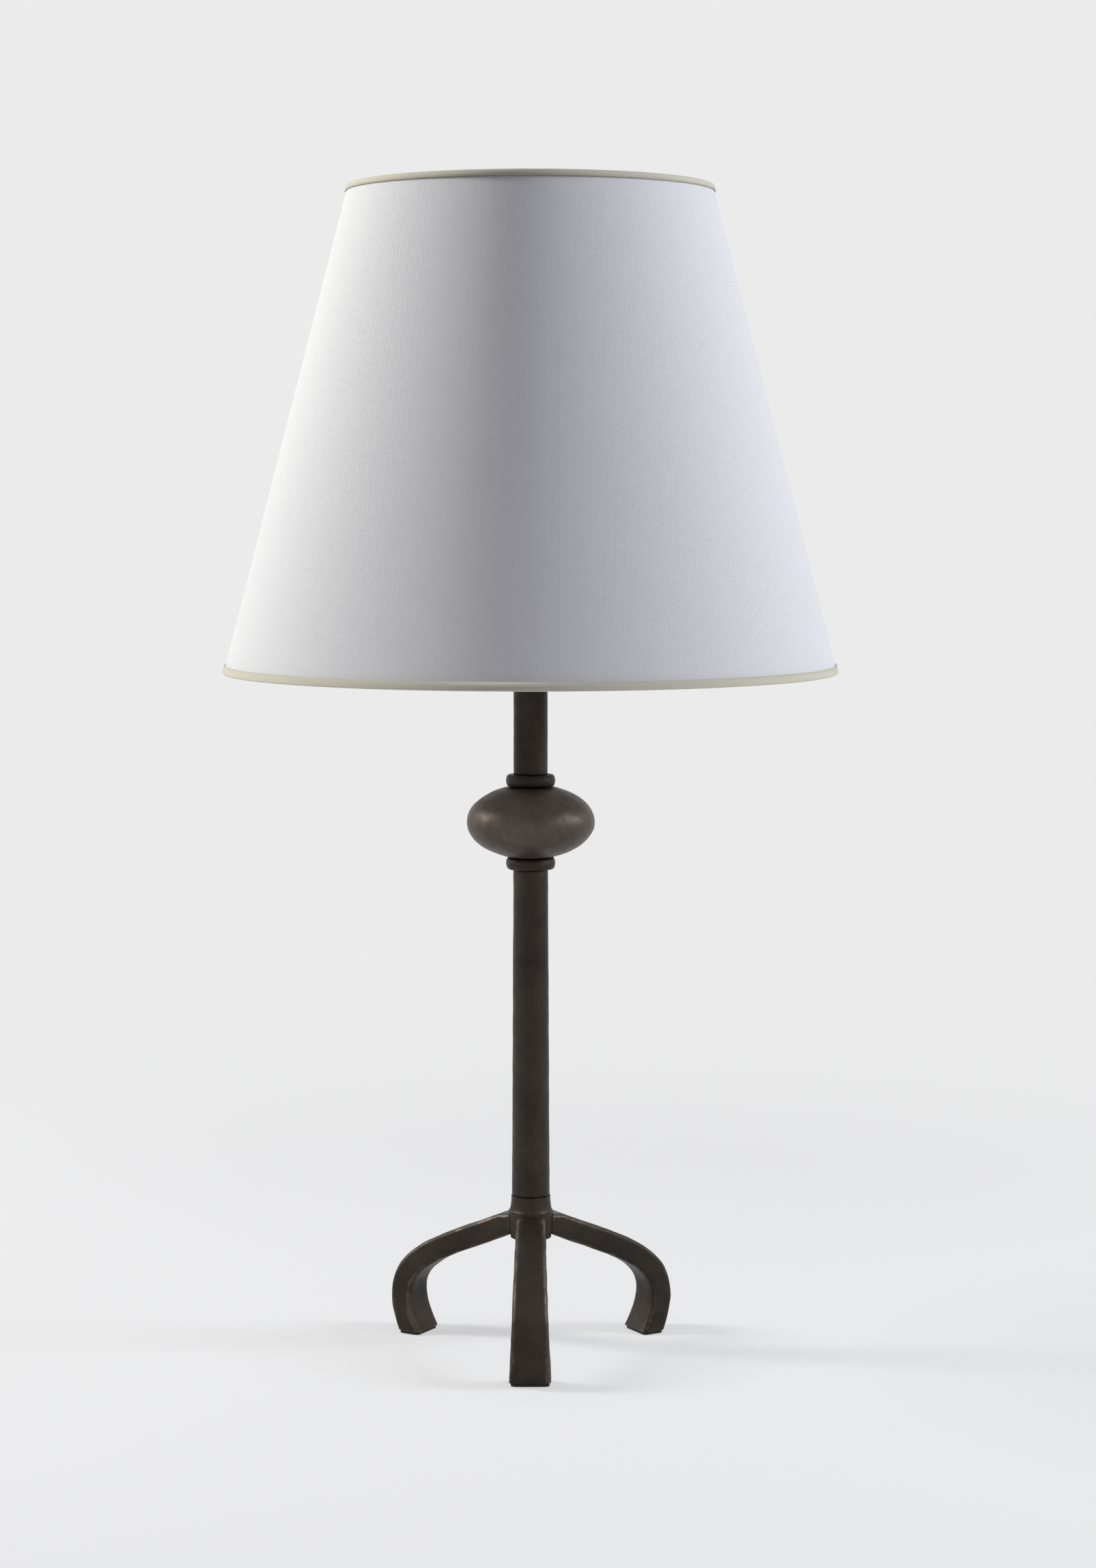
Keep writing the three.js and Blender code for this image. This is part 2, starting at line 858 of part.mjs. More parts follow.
// Tripod: each leg and its pad are in a group turned to the leg's side
["front", "right", "left"].forEach((side, i) => {
  const turn = new THREE.Group();
  turn.rotation.z = legAngles[i];
  add(turn, side + "_leg", leg(), materials.iron);
  add(turn, side + "_foot_pad", footPad(), materials.rubber).position.x = footCentre;
  lamp.add(turn);
});

// Levels up the stem
const hubBottom = rootAtHub - tenonHeight / 2;
const clampBottom = hubBottom - seatGap - clampThickness;
const washerBottom = clampBottom - seatGap - washerThickness;
const nutBottom = washerBottom - seatGap - nutHeight;
const rodBottom = nutBottom - rodBelowNut;
const stemBottom = hubBottom + hubHeight + seatGap;
const lowerCollarBottom = stemBottom + stemLength + seatGap;
const knopCentre = lowerCollarBottom + collarHeight + seatGap + knopSeat;
const upperCollarBottom = knopCentre + knopSeat + seatGap;
const neckBottom = upperCollarBottom + collarHeight + seatGap;
const neckCapBottom = neckBottom + neckLength + seatGap;
const saddleBottom = neckCapBottom + neckCapHeight + seatGap;
const holderBottom = saddleBottom + saddleThickness + seatGap;
const rodTop = holderBottom + holderCapNeckHeight;

add(lamp, "hub", hub(), materials.iron, hubBottom);
add(lamp, "clamp_plate", ring(clearBore, clampRadius, clampThickness), materials.iron, clampBottom);
const washer = ring(clearBore, washerRadius, washerThickness, smallSides);
add(lamp, "lock_washer", washer, materials.steel, washerBottom);
add(lamp, "bottom_nut", hexNut(), materials.steel, nutBottom);
add(lamp, "cord_bush", cordBush(), materials.plastic, rodBottom - seatGap);
const pipe = ring(rodRadius - rodWall, rodRadius, rodTop - rodBottom, smallSides);
add(lamp, "threaded_rod", pipe, materials.steel, rodBottom);
add(lamp, "lower_stem", stem(), materials.iron, stemBottom);
add(lamp, "lower_collar", collar(), materials.iron, lowerCollarBottom);
add(lamp, "knop", knop(), materials.iron, knopCentre);
add(lamp, "upper_collar", collar(), materials.iron, upperCollarBottom);
add(lamp, "neck", ring(clearBore, neckRadius, neckLength), materials.iron, neckBottom);
add(lamp, "neck_cap", ring(clearBore, neckCapRadius, neckCapHeight), materials.brass, neckCapBottom);
add(lamp, "harp_saddle", saddle(), materials.brass, saddleBottom);

// Lampholder
const holder = new THREE.Group();
holder.position.z = holderBottom;
lamp.add(holder);
const setScrewHole = rod(setScrewRadius + seatGap, holderCapNeckRadius + cutMargin, smallSides)
  .rotateX(-Math.PI / 2)
  .translate(0, 0, holderCapNeckHeight / 2);
add(holder, "socket_cap", cut(holderCap(), setScrewHole), materials.brass);
const setScrew = rod(setScrewRadius, setScrewLength, tinySides).rotateX(-Math.PI / 2);
add(holder, "socket_set_screw", setScrew, materials.steel, holderCapNeckHeight / 2).position.y = clearBore;
add(holder, "socket_shell", holderShell(), materials.brass);
add(holder, "socket_liner", liner(), materials.card);
add(holder, "socket_body", holderBody(), materials.plastic);
[["live_terminal_screw", 0], ["neutral_terminal_screw", Math.PI]].forEach(([name, turn]) => {
  const screw = add(holder, name, terminalScrew(), materials.brass, switchLevel);
  screw.rotation.z = turn;
  screw.position.x = Math.cos(turn) * (bodyRadius - terminalShank);
});
add(holder, "screw_shell", screwShell(), materials.contact, bodyTop + seatGap);
add(holder, "centre_contact", centreContact(), materials.brass, bodyTop + seatGap);
add(holder, "switch_shaft", switchShaft(), materials.brass, switchLevel);
add(holder, "switch_knob", switchKnob(), materials.plastic, switchLevel).position.y = -knobStart;

// Bulb
const bulb = new THREE.Group();
bulb.position.z = holderBottom + bodyTop + seatGap + contactHeight + seatGap;
lamp.add(bulb);
add(bulb, "bulb_tip", bulbTip(), materials.contact);
add(bulb, "bulb_insulator", bulbInsulator(), materials.plastic);
add(bulb, "bulb_cap", bulbCap(), materials.contact);
add(bulb, "bulb_globe", bulbGlobe(), materials.opal);
add(bulb, "bulb_stem", bulbStem(), materials.opal);

// Harp and ferrules
const harpBottom = saddleBottom + saddleEarHeight + saddlePinHeight + seatGap;
const harpGroup = new THREE.Group();
harpGroup.position.z = harpBottom;
lamp.add(harpGroup);
add(harpGroup, "harp", harp(), materials.brass);
add(harpGroup, "harp_stud", harpStud(), materials.brass, harpRise);
[["right_ferrule", 1], ["left_ferrule", -1]].forEach(([name, side]) => {
  const inner = wireRadius + slideGap;
  const sleeve = ring(inner, inner + ferruleWall, ferruleLength, smallSides);
  const z = saddleBottom + saddleEarHeight + seatGap - harpBottom;
  add(harpGroup, name, sleeve, materials.brass, z).position.x = side * saddleHalfWidth;
});

// Shade and finial
const spiderBottom = harpBottom + harpRise + bossHeight / 2 + seatGap;
const shade = new THREE.Group();
shade.position.z = spiderBottom + spiderDrop;
lamp.add(shade);
add(shade, "shade_spider", spider(), materials.whiteWire);
add(shade, "shade_bottom_ring", wireRing(bottomRingLevel), materials.whiteWire);
const backing = shadeWall(panelBottom, panelTop, backingOuter, backingInner);
const cover = shadeWall(panelBottom, panelTop, 0, -coverThickness);
add(shade, "shade_backing", backing, materials.styrene);
add(shade, "shade_cover", cover, materials.linen);
add(shade, "top_trim", edgeTrim(0, topTrimHeight, -1), materials.linen);
add(shade, "bottom_trim", edgeTrim(-shadeHeight, bottomTrimHeight, 1), materials.linen);
add(lamp, "finial", finial(), materials.brass, spiderBottom + spiderWasherThickness + seatGap);

export default lamp;
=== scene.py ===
# Table lamp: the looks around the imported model. Metres, +Z up, the front leg towards -Y.
from math import asin, atan, atan2, cos, degrees, hypot, pi, radians, sin, sqrt
import bmesh
import bpy
from mathutils import Matrix, Vector, noise
from mathutils.geometry import interpolate_bezier


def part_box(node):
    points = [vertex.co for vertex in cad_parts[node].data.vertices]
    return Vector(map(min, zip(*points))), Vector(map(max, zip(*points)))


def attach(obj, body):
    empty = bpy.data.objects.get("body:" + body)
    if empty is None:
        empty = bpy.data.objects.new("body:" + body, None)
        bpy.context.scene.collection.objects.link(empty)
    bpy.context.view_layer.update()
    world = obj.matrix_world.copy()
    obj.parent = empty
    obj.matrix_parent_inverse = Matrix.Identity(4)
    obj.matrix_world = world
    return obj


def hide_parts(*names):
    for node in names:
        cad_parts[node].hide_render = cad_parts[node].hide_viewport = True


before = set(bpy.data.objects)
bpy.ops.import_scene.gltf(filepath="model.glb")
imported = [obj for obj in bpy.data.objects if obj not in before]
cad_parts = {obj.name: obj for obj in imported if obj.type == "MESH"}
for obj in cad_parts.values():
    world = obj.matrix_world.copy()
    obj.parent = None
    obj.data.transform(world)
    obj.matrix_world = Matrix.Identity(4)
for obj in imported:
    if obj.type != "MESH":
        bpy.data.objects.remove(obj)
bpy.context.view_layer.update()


# Camera. The photo's frame is 1605 x 2296 pixels, and its long side takes the whole sensor.
photo = {"width": 1605, "height": 2296, "eyeRow": 702, "stemColumn": 777}
cameraSetup = {"distance": 1.889, "eyeHeight": 0.51, "lens": 75, "sensor": 36}


def addObject(name, data):
    made = bpy.data.objects.new(name, data)
    bpy.context.scene.collection.objects.link(made)
    return made


def addCamera():
    distance, eyeHeight, lens, sensor = cameraSetup.values()
    data = bpy.data.cameras.new("photoCamera")
    data.lens = lens
    data.sensor_width = sensor
    camera = addObject("photoCamera", data)
    focal = lens / sensor * photo["height"]
    pitch = atan((photo["height"] / 2 - photo["eyeRow"]) / focal)
    aside = (photo["width"] / 2 - photo["stemColumn"]) / focal * distance
    camera.location = (aside, -distance, eyeHeight)
    camera.rotation_euler = (pi / 2 - pitch, 0, 0)
    bpy.context.scene.camera = camera


# Node tools for the materials
def addNode(tree, kind, values=None, **settings):
    made = tree.nodes.new("ShaderNode" + kind)
    for name, value in settings.items():
        setattr(made, name, value)
    for name, value in (values or {}).items():
        if isinstance(value, bpy.types.NodeSocket):
            tree.links.new(value, made.inputs[name])
        else:
            made.inputs[name].default_value = value
    return made


def maths(tree, operation, first, second=0.0, third=0.0, clamp=False):
    made = addNode(tree, "Math", {0: first, 1: second, 2: third}, operation=operation, use_clamp=clamp)
    return made.outputs[0]


def times(tree, first, second):
    return maths(tree, "MULTIPLY", first, second)


def cloud(tree, vector, scale, detail, rough=0.5):
    values = {"Vector": vector, "Scale": scale, "Detail": detail, "Roughness": rough}
    return addNode(tree, "TexNoise", values).outputs[0]


def newGroup(name, place, inputs, outputs):
    # its first input is the place, a vector, and all the others are numbers
    tree = bpy.data.node_groups.new(name, "ShaderNodeTree")
    tree.interface.new_socket(name=place, in_out="INPUT", socket_type="NodeSocketVector")
    for title, value in inputs.items():
        socket = tree.interface.new_socket(name=title, in_out="INPUT", socket_type="NodeSocketFloat")
        socket.default_value = value
    for title in outputs:
        tree.interface.new_socket(name=title, in_out="OUTPUT", socket_type="NodeSocketFloat")
    start = tree.nodes.new("NodeGroupInput")
    end = tree.nodes.new("NodeGroupOutput")
    return tree, start.outputs, end.inputs


def useGroup(tree, group, values):
    return addNode(tree, "Group", values, node_tree=group).outputs


def newMaterial(name, **fixed):
    material = bpy.data.materials.new(name)
    material.use_nodes = True
    tree = material.node_tree
    shader = tree.nodes["Principled BSDF"]
    for title, value in fixed.items():
        shader.inputs[title.replace("_", " ")].default_value = value
    return material, tree, shader


def objectPlace(tree):
    return addNode(tree, "TexCoord").outputs["Object"]


def blendColours(tree, factor, first, second):
    # a mix node's inputs 6 and 7 are its two colours, and output 2 is the mixed one
    ends = {}
    for index, value in ((6, first), (7, second)):
        ends[index] = value if isinstance(value, bpy.types.NodeSocket) else (*value, 1)
    return addNode(tree, "Mix", {"Factor": factor, **ends}, data_type="RGBA").outputs[2]


def mapped(tree, value, low, high):
    return addNode(tree, "MapRange", {"Value": value, "To Min": low, "To Max": high}).outputs[0]


def dress(tree, shader, colour, rough, height=None, depth=0.0):
    tree.links.new(colour, shader.inputs["Base Color"])
    tree.links.new(rough, shader.inputs["Roughness"])
    if height is not None:
        bump = addNode(tree, "Bump", {"Height": height, "Distance": depth, "Strength": 1.0})
        tree.links.new(bump.outputs["Normal"], shader.inputs["Normal"])


# Shared effects
def makeMottle():
    # drift of tone over a surface, about a middle of 0.5
    tree, given, result = newGroup("mottle", "Vector", {"Size": 0.03, "Contrast": 1.0}, ["Tone"])
    scale = maths(tree, "DIVIDE", 1.0, given["Size"])
    centred = maths(tree, "SUBTRACT", cloud(tree, given["Vector"], scale, 5.0, 0.6), 0.5)
    tree.links.new(maths(tree, "MULTIPLY_ADD", centred, given["Contrast"], 0.5), result["Tone"])
    return tree


wearLook = {
    "patch": 9.0,  # how much larger the broad patches are than the fine ones
    "patchShare": 1.6,
    "edgeShare": 0.62,
    "start": 0.42,  # a higher start leaves less metal rubbed
    "hardness": 3.2,
}


def makeEdgeWear():
    # rubbed edges, broken up so that the rub isn't an even line
    inputs = {"Edge": 0.0, "Size": 0.004, "Amount": 0.6}
    tree, given, result = newGroup("edgeWear", "Vector", inputs, ["Mask"])
    breakup = []
    for spread, detail in ((1.0, 6.0), (wearLook["patch"], 2.0)):
        scale = maths(tree, "DIVIDE", 1.0 / spread, given["Size"])
        breakup.append(maths(tree, "SUBTRACT", cloud(tree, given["Vector"], scale, detail, 0.65), 0.5))
    ragged = maths(tree, "ADD", breakup[0], times(tree, breakup[1], wearLook["patchShare"]))
    edge = times(tree, given["Edge"], wearLook["edgeShare"])
    standing = maths(tree, "SUBTRACT", edge, wearLook["start"])
    both = maths(tree, "ADD", standing, ragged)
    rubbed = maths(tree, "MULTIPLY", both, wearLook["hardness"], clamp=True)
    tree.links.new(maths(tree, "MULTIPLY", rubbed, given["Amount"], clamp=True), result["Mask"])
    return tree


hammerLook = {"smooth": 0.6, "pits": 0.64}  # grain over the second value is a pit


def makeHammering():
    # shallow planished dents with a fine scale over them
    inputs = {"Dent": 0.009, "Grain": 0.0008, "Scale Depth": 0.2}
    tree, given, result = newGroup("hammering", "Vector", inputs, ["Height", "Pits"])
    dentScale = maths(tree, "DIVIDE", 1.0, given["Dent"])
    cells = {"Vector": given["Vector"], "Scale": dentScale, "Smoothness": hammerLook["smooth"]}
    dents = addNode(tree, "TexVoronoi", cells, feature="SMOOTH_F1")
    hollow = maths(tree, "POWER", dents.outputs["Distance"], 2.0)
    grain = cloud(tree, given["Vector"], maths(tree, "DIVIDE", 1.0, given["Grain"]), 4.0, 0.65)
    pits = maths(tree, "GREATER_THAN", grain, hammerLook["pits"])
    skin = times(tree, grain, given["Scale Depth"])
    tree.links.new(maths(tree, "ADD", hollow, skin), result["Height"])
    tree.links.new(pits, result["Pits"])
    return tree


def makeTurnedLines():
    # the fine rings a lathe or a polishing wheel leaves round the Z axis
    tree, given, result = newGroup("turnedLines", "Vector", {"Pitch": 0.0005}, ["Height"])
    split = addNode(tree, "SeparateXYZ", {"Vector": given["Vector"]})
    flat = addNode(tree, "CombineXYZ", {"Z": maths(tree, "DIVIDE", split.outputs["Z"], given["Pitch"])})
    tree.links.new(cloud(tree, flat.outputs[0], 1.0, 3.0, 0.7), result["Height"])
    return tree


weaveLook = {
    "slubs": 45.0,  # slow changes of a yarn's thickness in each metre of it
    "apart": 7.31,  # keeps the changes of neighbouring yarns apart
    "crown": 0.55,  # how much flatter the yarn on top lies along itself
    "gap": 0.28,  # what lies lower than this share of a crown counts as a gap
}


def makeWeave():
    # plain weave in the cloth's own flat coordinates, with slubs in both yarns
    inputs = {"Yarn": 0.0007, "Slub": 0.5}
    tree, given, result = newGroup("weave", "Flat", inputs, ["Height", "Gap", "Tone"])
    along = addNode(tree, "SeparateXYZ", {"Vector": given["Flat"]}).outputs
    count, ridge, slub = {}, {}, {}
    for name, other in (("X", "Y"), ("Y", "X")):
        count[name] = maths(tree, "DIVIDE", along[name], given["Yarn"])
        ridge[name] = maths(tree, "SINE", times(tree, count[name], pi))
        # each yarn has its own slow change of thickness along its length
        yarn = {
            "X": times(tree, maths(tree, "FLOOR", count[name]), weaveLook["apart"]),
            "Y": times(tree, along[other], weaveLook["slubs"]),
            "Z": 3.0 if name == "X" else 11.0,
        }
        spot = addNode(tree, "CombineXYZ", yarn).outputs[0]
        slub[name] = maths(tree, "SUBTRACT", cloud(tree, spot, 1.0, 2.0), 0.5)
    over = maths(tree, "GREATER_THAN", times(tree, ridge["X"], ridge["Y"]), 0.0)
    under = maths(tree, "SUBTRACT", 1.0, over)
    crown = []
    for name, top in (("X", over), ("Y", under)):
        # the yarn on top is round across itself and long along itself
        power = maths(tree, "SUBTRACT", 1.0, times(tree, top, weaveLook["crown"]))
        crown.append(maths(tree, "POWER", maths(tree, "ABSOLUTE", ridge[name]), power))
    height = times(tree, crown[0], crown[1])
    topSlub = maths(tree, "MULTIPLY_ADD", slub["X"], under, times(tree, slub["Y"], over))
    swelling = times(tree, topSlub, given["Slub"])
    tree.links.new(maths(tree, "ADD", height, swelling), result["Height"])
    tree.links.new(maths(tree, "LESS_THAN", height, weaveLook["gap"]), result["Gap"])
    tree.links.new(maths(tree, "ADD", swelling, 0.5), result["Tone"])
    return tree


mottle = makeMottle()
edgeWear = makeEdgeWear()
hammering = makeHammering()
turnedLines = makeTurnedLines()
weave = makeWeave()
print("shared effects made:", len(bpy.data.node_groups))


# Materials
ironLook = {
    "dark": (0.0145, 0.0113, 0.0088),
    "brown": (0.050, 0.038, 0.027),
    "rubbed": (0.11, 0.089, 0.071),
    "dent": 0.006,
    "dentDepth": 0.00016,
    "fineShare": 0.35,
    "rough": (0.40, 0.62),
    "rubSmooths": 0.14,
    "pitsRoughen": 0.15,
}
# the knop's own copy of the iron, lighter and browner: partly a browner finish, partly painted light
# standing in for the light that the knop catches
knopBrownerAndLitLook = {
    **ironLook,
    "dark": (0.054, 0.042, 0.034),
    "brown": (0.140, 0.109, 0.086),
    "rubbed": (0.23, 0.187, 0.15),
}


def toneOf(tree, place, size, contrast):
    return useGroup(tree, mottle, {"Vector": place, "Size": size, "Contrast": contrast})["Tone"]


def rubbedAway(tree, place, size, amount):
    # where the edges that markWear finds are rubbed bright
    edge = addNode(tree, "Attribute", attribute_name="wear").outputs["Fac"]
    values = {"Vector": place, "Edge": edge, "Size": size, "Amount": amount}
    return useGroup(tree, edgeWear, values)["Mask"]


def makeIron(name, look):
    # forged iron, blackened in oil and waxed, browner where it has been handled
    material, tree, shader = newMaterial(name, Metallic=0.85, Coat_Weight=0.08, Coat_Roughness=0.35)
    place = objectPlace(tree)
    drift = toneOf(tree, place, size=0.035, contrast=2.2)
    fine = toneOf(tree, place, size=0.004, contrast=1.6)
    values = {"Vector": place, "Dent": look["dent"], "Grain": 0.0011, "Scale Depth": 0.14}
    dents = useGroup(tree, hammering, values)
    rub = rubbedAway(tree, place, size=0.005, amount=0.6)
    patina = blendColours(tree, drift, look["dark"], look["brown"])
    clouded = blendColours(tree, times(tree, fine, look["fineShare"]), patina, look["dark"])
    worn = blendColours(tree, rub, clouded, look["rubbed"])
    smoother = times(tree, rub, look["rubSmooths"])
    rough = maths(tree, "SUBTRACT", mapped(tree, fine, *look["rough"]), smoother)
    rough = maths(tree, "MULTIPLY_ADD", dents["Pits"], look["pitsRoughen"], rough)
    dress(tree, shader, worn, rough, dents["Height"], look["dentDepth"])
    return material


turnedLook = {"lines": 0.16, "tarnish": 0.18, "offset": 0.12, "lineDepth": 0.00003}


def makeTurnedMetal(name, light, dark, rough, wear=(0.9, 0.82, 0.62)):
    # brass, steel and bright contact metal: turned or drawn, a little tarnished
    material, tree, shader = newMaterial(name, Metallic=1.0)
    place = objectPlace(tree)
    tarnish = toneOf(tree, place, size=0.012, contrast=2.0)
    lines = useGroup(tree, turnedLines, {"Vector": place, "Pitch": 0.0004})["Height"]
    rub = rubbedAway(tree, place, size=0.002, amount=0.5)
    worn = blendColours(tree, rub, blendColours(tree, tarnish, light, dark), wear)
    even = maths(tree, "MULTIPLY_ADD", lines, turnedLook["lines"], rough - turnedLook["offset"])
    cloudy = maths(tree, "MULTIPLY_ADD", tarnish, turnedLook["tarnish"], even)
    dress(tree, shader, worn, cloudy, lines, turnedLook["lineDepth"])
    return material


mouldedLook = {"lift": 0.3, "least": 0.003, "roughSpread": 0.08}


def makeMoulded(name, colour, rough, grain=0.0006, depth=0.00002, **fixed):
    # moulded plastic, rubber or card: an even colour with a fine texture and faint flow marks
    material, tree, shader = newMaterial(name, **fixed)
    place = objectPlace(tree)
    flow = toneOf(tree, place, size=0.010, contrast=1.2)
    skin = toneOf(tree, place, size=grain, contrast=1.0)
    lift, least, spread = mouldedLook.values()
    lighter = [channel + lift * channel * (1 - channel) + least for channel in colour]
    body = blendColours(tree, flow, colour, lighter)
    dress(tree, shader, body, mapped(tree, skin, rough - spread, rough + spread), skin, depth)
    return material


# each "gap" colour is painted shade in the hollows between the yarns
clothLook = {"yarn": (0.80, 0.80, 0.80), "gap": (0.60, 0.60, 0.61), "slubShade": (0.68, 0.68, 0.68)}
tapeLook = {"yarn": (0.66, 0.63, 0.51), "gap": (0.50, 0.47, 0.38), "slubShade": (0.57, 0.54, 0.43)}
agedAndGapShadeLook = {"gapShadeShare": 0.55, "fade": 0.97, "soilShare": 0.25, "rough": (0.96, 0.84)}


def makeCloth(name, look, pitch, slub, depth):
    # plain woven cloth, in the flat coordinates that the piece carries as its UV map, in metres
    material, tree, shader = newMaterial(
        name, Sheen_Weight=0.12, Sheen_Roughness=0.5, Specular_IOR_Level=0.25, Roughness=0.9
    )
    flat = addNode(tree, "UVMap", uv_map="flat").outputs["UV"]
    yarns = useGroup(tree, weave, {"Flat": flat, "Yarn": pitch, "Slub": slub})
    soiling = toneOf(tree, objectPlace(tree), size=0.05, contrast=0.8)
    slubbed = blendColours(tree, yarns["Tone"], look["slubShade"], look["yarn"])
    # the gaps between the yarns are painted darker: painted shade in the weave's hollows
    gap = times(tree, yarns["Gap"], agedAndGapShadeLook["gapShadeShare"])
    gapShaded = blendColours(tree, gap, slubbed, look["gap"])
    # soiled cloth is a little darker, and in blue by twice as much
    aged = [channel * agedAndGapShadeLook["fade"] for channel in look["yarn"]]
    aged[2] *= agedAndGapShadeLook["fade"]
    soiled = blendColours(tree, times(tree, soiling, agedAndGapShadeLook["soilShare"]), gapShaded, aged)
    dress(tree, shader, soiled, mapped(tree, yarns["Tone"], *agedAndGapShadeLook["rough"]), yarns["Height"], depth)
    return material


opalLook = {"powder": (0.80, 0.79, 0.76), "bare": (0.86, 0.855, 0.83), "rough": (0.32, 0.42)}


def makeOpal():
    # glass with a white powder inside, so nothing shows through it
    material, tree, shader = newMaterial("opalGlass", Coat_Weight=0.4, Coat_Roughness=0.12, IOR=1.5)
    powder = toneOf(tree, objectPlace(tree), size=0.018, contrast=1.0)
    colour = blendColours(tree, powder, opalLook["powder"], opalLook["bare"])
    dress(tree, shader, colour, mapped(tree, powder, *opalLook["rough"]))
    return material


iron = makeIron("blackenedIron", ironLook)
# the knop's iron is painted lighter, partly for a browner finish and partly as painted light
knopIronPaintedLighter = makeIron("knopIronPaintedLighter", knopBrownerAndLitLook)
brass = makeTurnedMetal("agedBrass", (0.52, 0.36, 0.14), (0.30, 0.19, 0.075), 0.34)
steel = makeTurnedMetal("zincSteel", (0.50, 0.50, 0.49), (0.33, 0.33, 0.33), 0.42, (0.62, 0.62, 0.62))
nickel = makeTurnedMetal("nickelContact", (0.6, 0.6, 0.61), (0.42, 0.42, 0.43), 0.36, (0.75, 0.75, 0.76))
blackPlastic = makeMoulded("blackPhenolic", (0.012, 0.012, 0.012), 0.42)
rubber = makeMoulded("footRubber", (0.016, 0.016, 0.016), 0.85, grain=0.0004)
linerCard = makeMoulded("linerCard", (0.42, 0.29, 0.14), 0.88, grain=0.0012, depth=0.00005)
styrene = makeMoulded("liningStyrene", (0.76, 0.75, 0.73), 0.60, grain=0.0015)
whiteWire = makeMoulded("enamelledWire", (0.62, 0.61, 0.59), 0.40, grain=0.0009, Coat_Weight=0.25)
opal = makeOpal()
linen = makeCloth("shadeLinen", clothLook, 0.00062, 0.55, 0.00016)
tapeCloth = makeCloth("edgeTape", tapeLook, 0.00045, 0.35, 0.00012)
print("materials made:", len(bpy.data.materials))


# Mesh tools
def bevel(bm, geom, width, segments, affect="EDGES", clamp=False):
    bmesh.ops.bevel(
        bm,
        geom=geom,
        offset=width,
        offset_type="OFFSET",
        affect=affect,
        segments=segments,
        profile=0.5,
        material=-1,
        clamp_overlap=clamp,
    )


def soften(bm, width, sharp=radians(28), segments=3):
    # rounds every edge that is sharper than the given angle
    edges = [edge for edge in bm.edges if edge.is_manifold and edge.calc_face_angle() > sharp]
    if width and edges:
        bevel(bm, edges, width, segments, clamp=True)


def onlyEdges(items):
    return [item for item in items if isinstance(item, bmesh.types.BMEdge)]


def onlyPoints(items):
    return [item for item in items if isinstance(item, bmesh.types.BMVert)]


def orient(bm):
    bmesh.ops.recalc_face_normals(bm, faces=bm.faces[:])


def weld(bm):
    bmesh.ops.remove_doubles(bm, verts=bm.verts[:], dist=1e-6)
    orient(bm)


def spinRound(bm, sides):
    # a full turn about Z of all that is in bm
    bmesh.ops.spin(
        bm,
        geom=bm.verts[:] + bm.edges[:],
        cent=(0, 0, 0),
        axis=(0, 0, 1),
        angle=2 * pi,
        steps=sides,
        use_merge=True,
    )
    weld(bm)


def lathe(outline, sides=96, step=None, soft=0.0003):
    # spun about Z from an outline of (radius, height) corners; off the axis it closes into a ring
    bm = bmesh.new()
    corners = [bm.verts.new((radius, 0, height)) for radius, height in outline]
    edges = [bm.edges.new(pair) for pair in zip(corners, corners[1:])]
    if outline[0][0] > 0:
        edges.append(bm.edges.new((corners[-1], corners[0])))
    if step:
        for edge in edges:
            cuts = int(edge.calc_length() / step)
            if cuts:
                bmesh.ops.subdivide_edges(bm, edges=[edge], cuts=cuts)
    spinRound(bm, sides)
    soften(bm, soft)
    return bm


def ringLine(inner, outer, low, high):
    # the outline of a plain ring, or of a plain rod where the inner radius is 0
    return [(inner, low), (outer, low), (outer, high), (inner, high)]


def threadLine(radius, depth, start, pitch, turns):
    # the zigzag of a thread, from its first root to its last crest
    line = []
    for i in range(turns):
        level = start + i * pitch
        line += [(radius - depth, level), (radius, level + pitch / 2)]
    return line


def arc(centre, radii, start, stop, steps):
    # (radius, height) points of an elliptic arc, angles in degrees
    angles = [radians(start + (stop - start) * i / steps) for i in range(steps + 1)]
    return [(centre[0] + radii[0] * cos(a), centre[1] + radii[1] * sin(a)) for a in angles]


def barSection(bm, thickness, width, corner, longest):
    # a flat bar's section with rounded corners, its flats divided for the hammering
    bmesh.ops.create_grid(bm, x_segments=1, y_segments=1, size=0.5)
    bmesh.ops.scale(bm, vec=(thickness, width, 1), verts=bm.verts[:])
    bevel(bm, bm.verts[:], corner, 4, affect="VERTICES")
    for edge in [edge for edge in bm.edges if edge.calc_length() > longest]:
        bmesh.ops.subdivide_edges(bm, edges=[edge], cuts=int(edge.calc_length() / longest))


def roundSection(bm, radius, sides):
    bmesh.ops.create_circle(bm, cap_ends=True, radius=radius, segments=sides)


def sweep(bm, stations):
    # carries the section that is in bm through the stations' matrices and closes both ends
    bmesh.ops.transform(bm, matrix=stations[0], verts=bm.verts[:])
    edges = bm.edges[:]
    for before, after in zip(stations, stations[1:]):
        made = bmesh.ops.extrude_edge_only(bm, edges=edges)["geom"]
        points = set(onlyPoints(made))
        edges = [edge for edge in onlyEdges(made) if points.issuperset(edge.verts)]
        bmesh.ops.transform(bm, matrix=after @ before.inverted(), verts=list(points))
    bmesh.ops.edgeloop_fill(bm, edges=edges)
    orient(bm)


def planarStations(points, widen=lambda x, z: 1.0):
    # frames along a path of (x, z) points in the XZ plane: thickness in the plane, width along Y
    frames = []
    for i, (x, z) in enumerate(points):
        ahead = points[min(i + 1, len(points) - 1)]
        behind = points[max(i - 1, 0)]
        dx, dz = ahead[0] - behind[0], ahead[1] - behind[1]
        run = hypot(dx, dz)
        tx, tz = dx / run, dz / run
        share = widen(x, z)
        frames.append(Matrix(((-tz, 0, tx, x), (0, share, 0, 0), (tx, 0, tz, z), (0, 0, 0, 1))))
    return frames


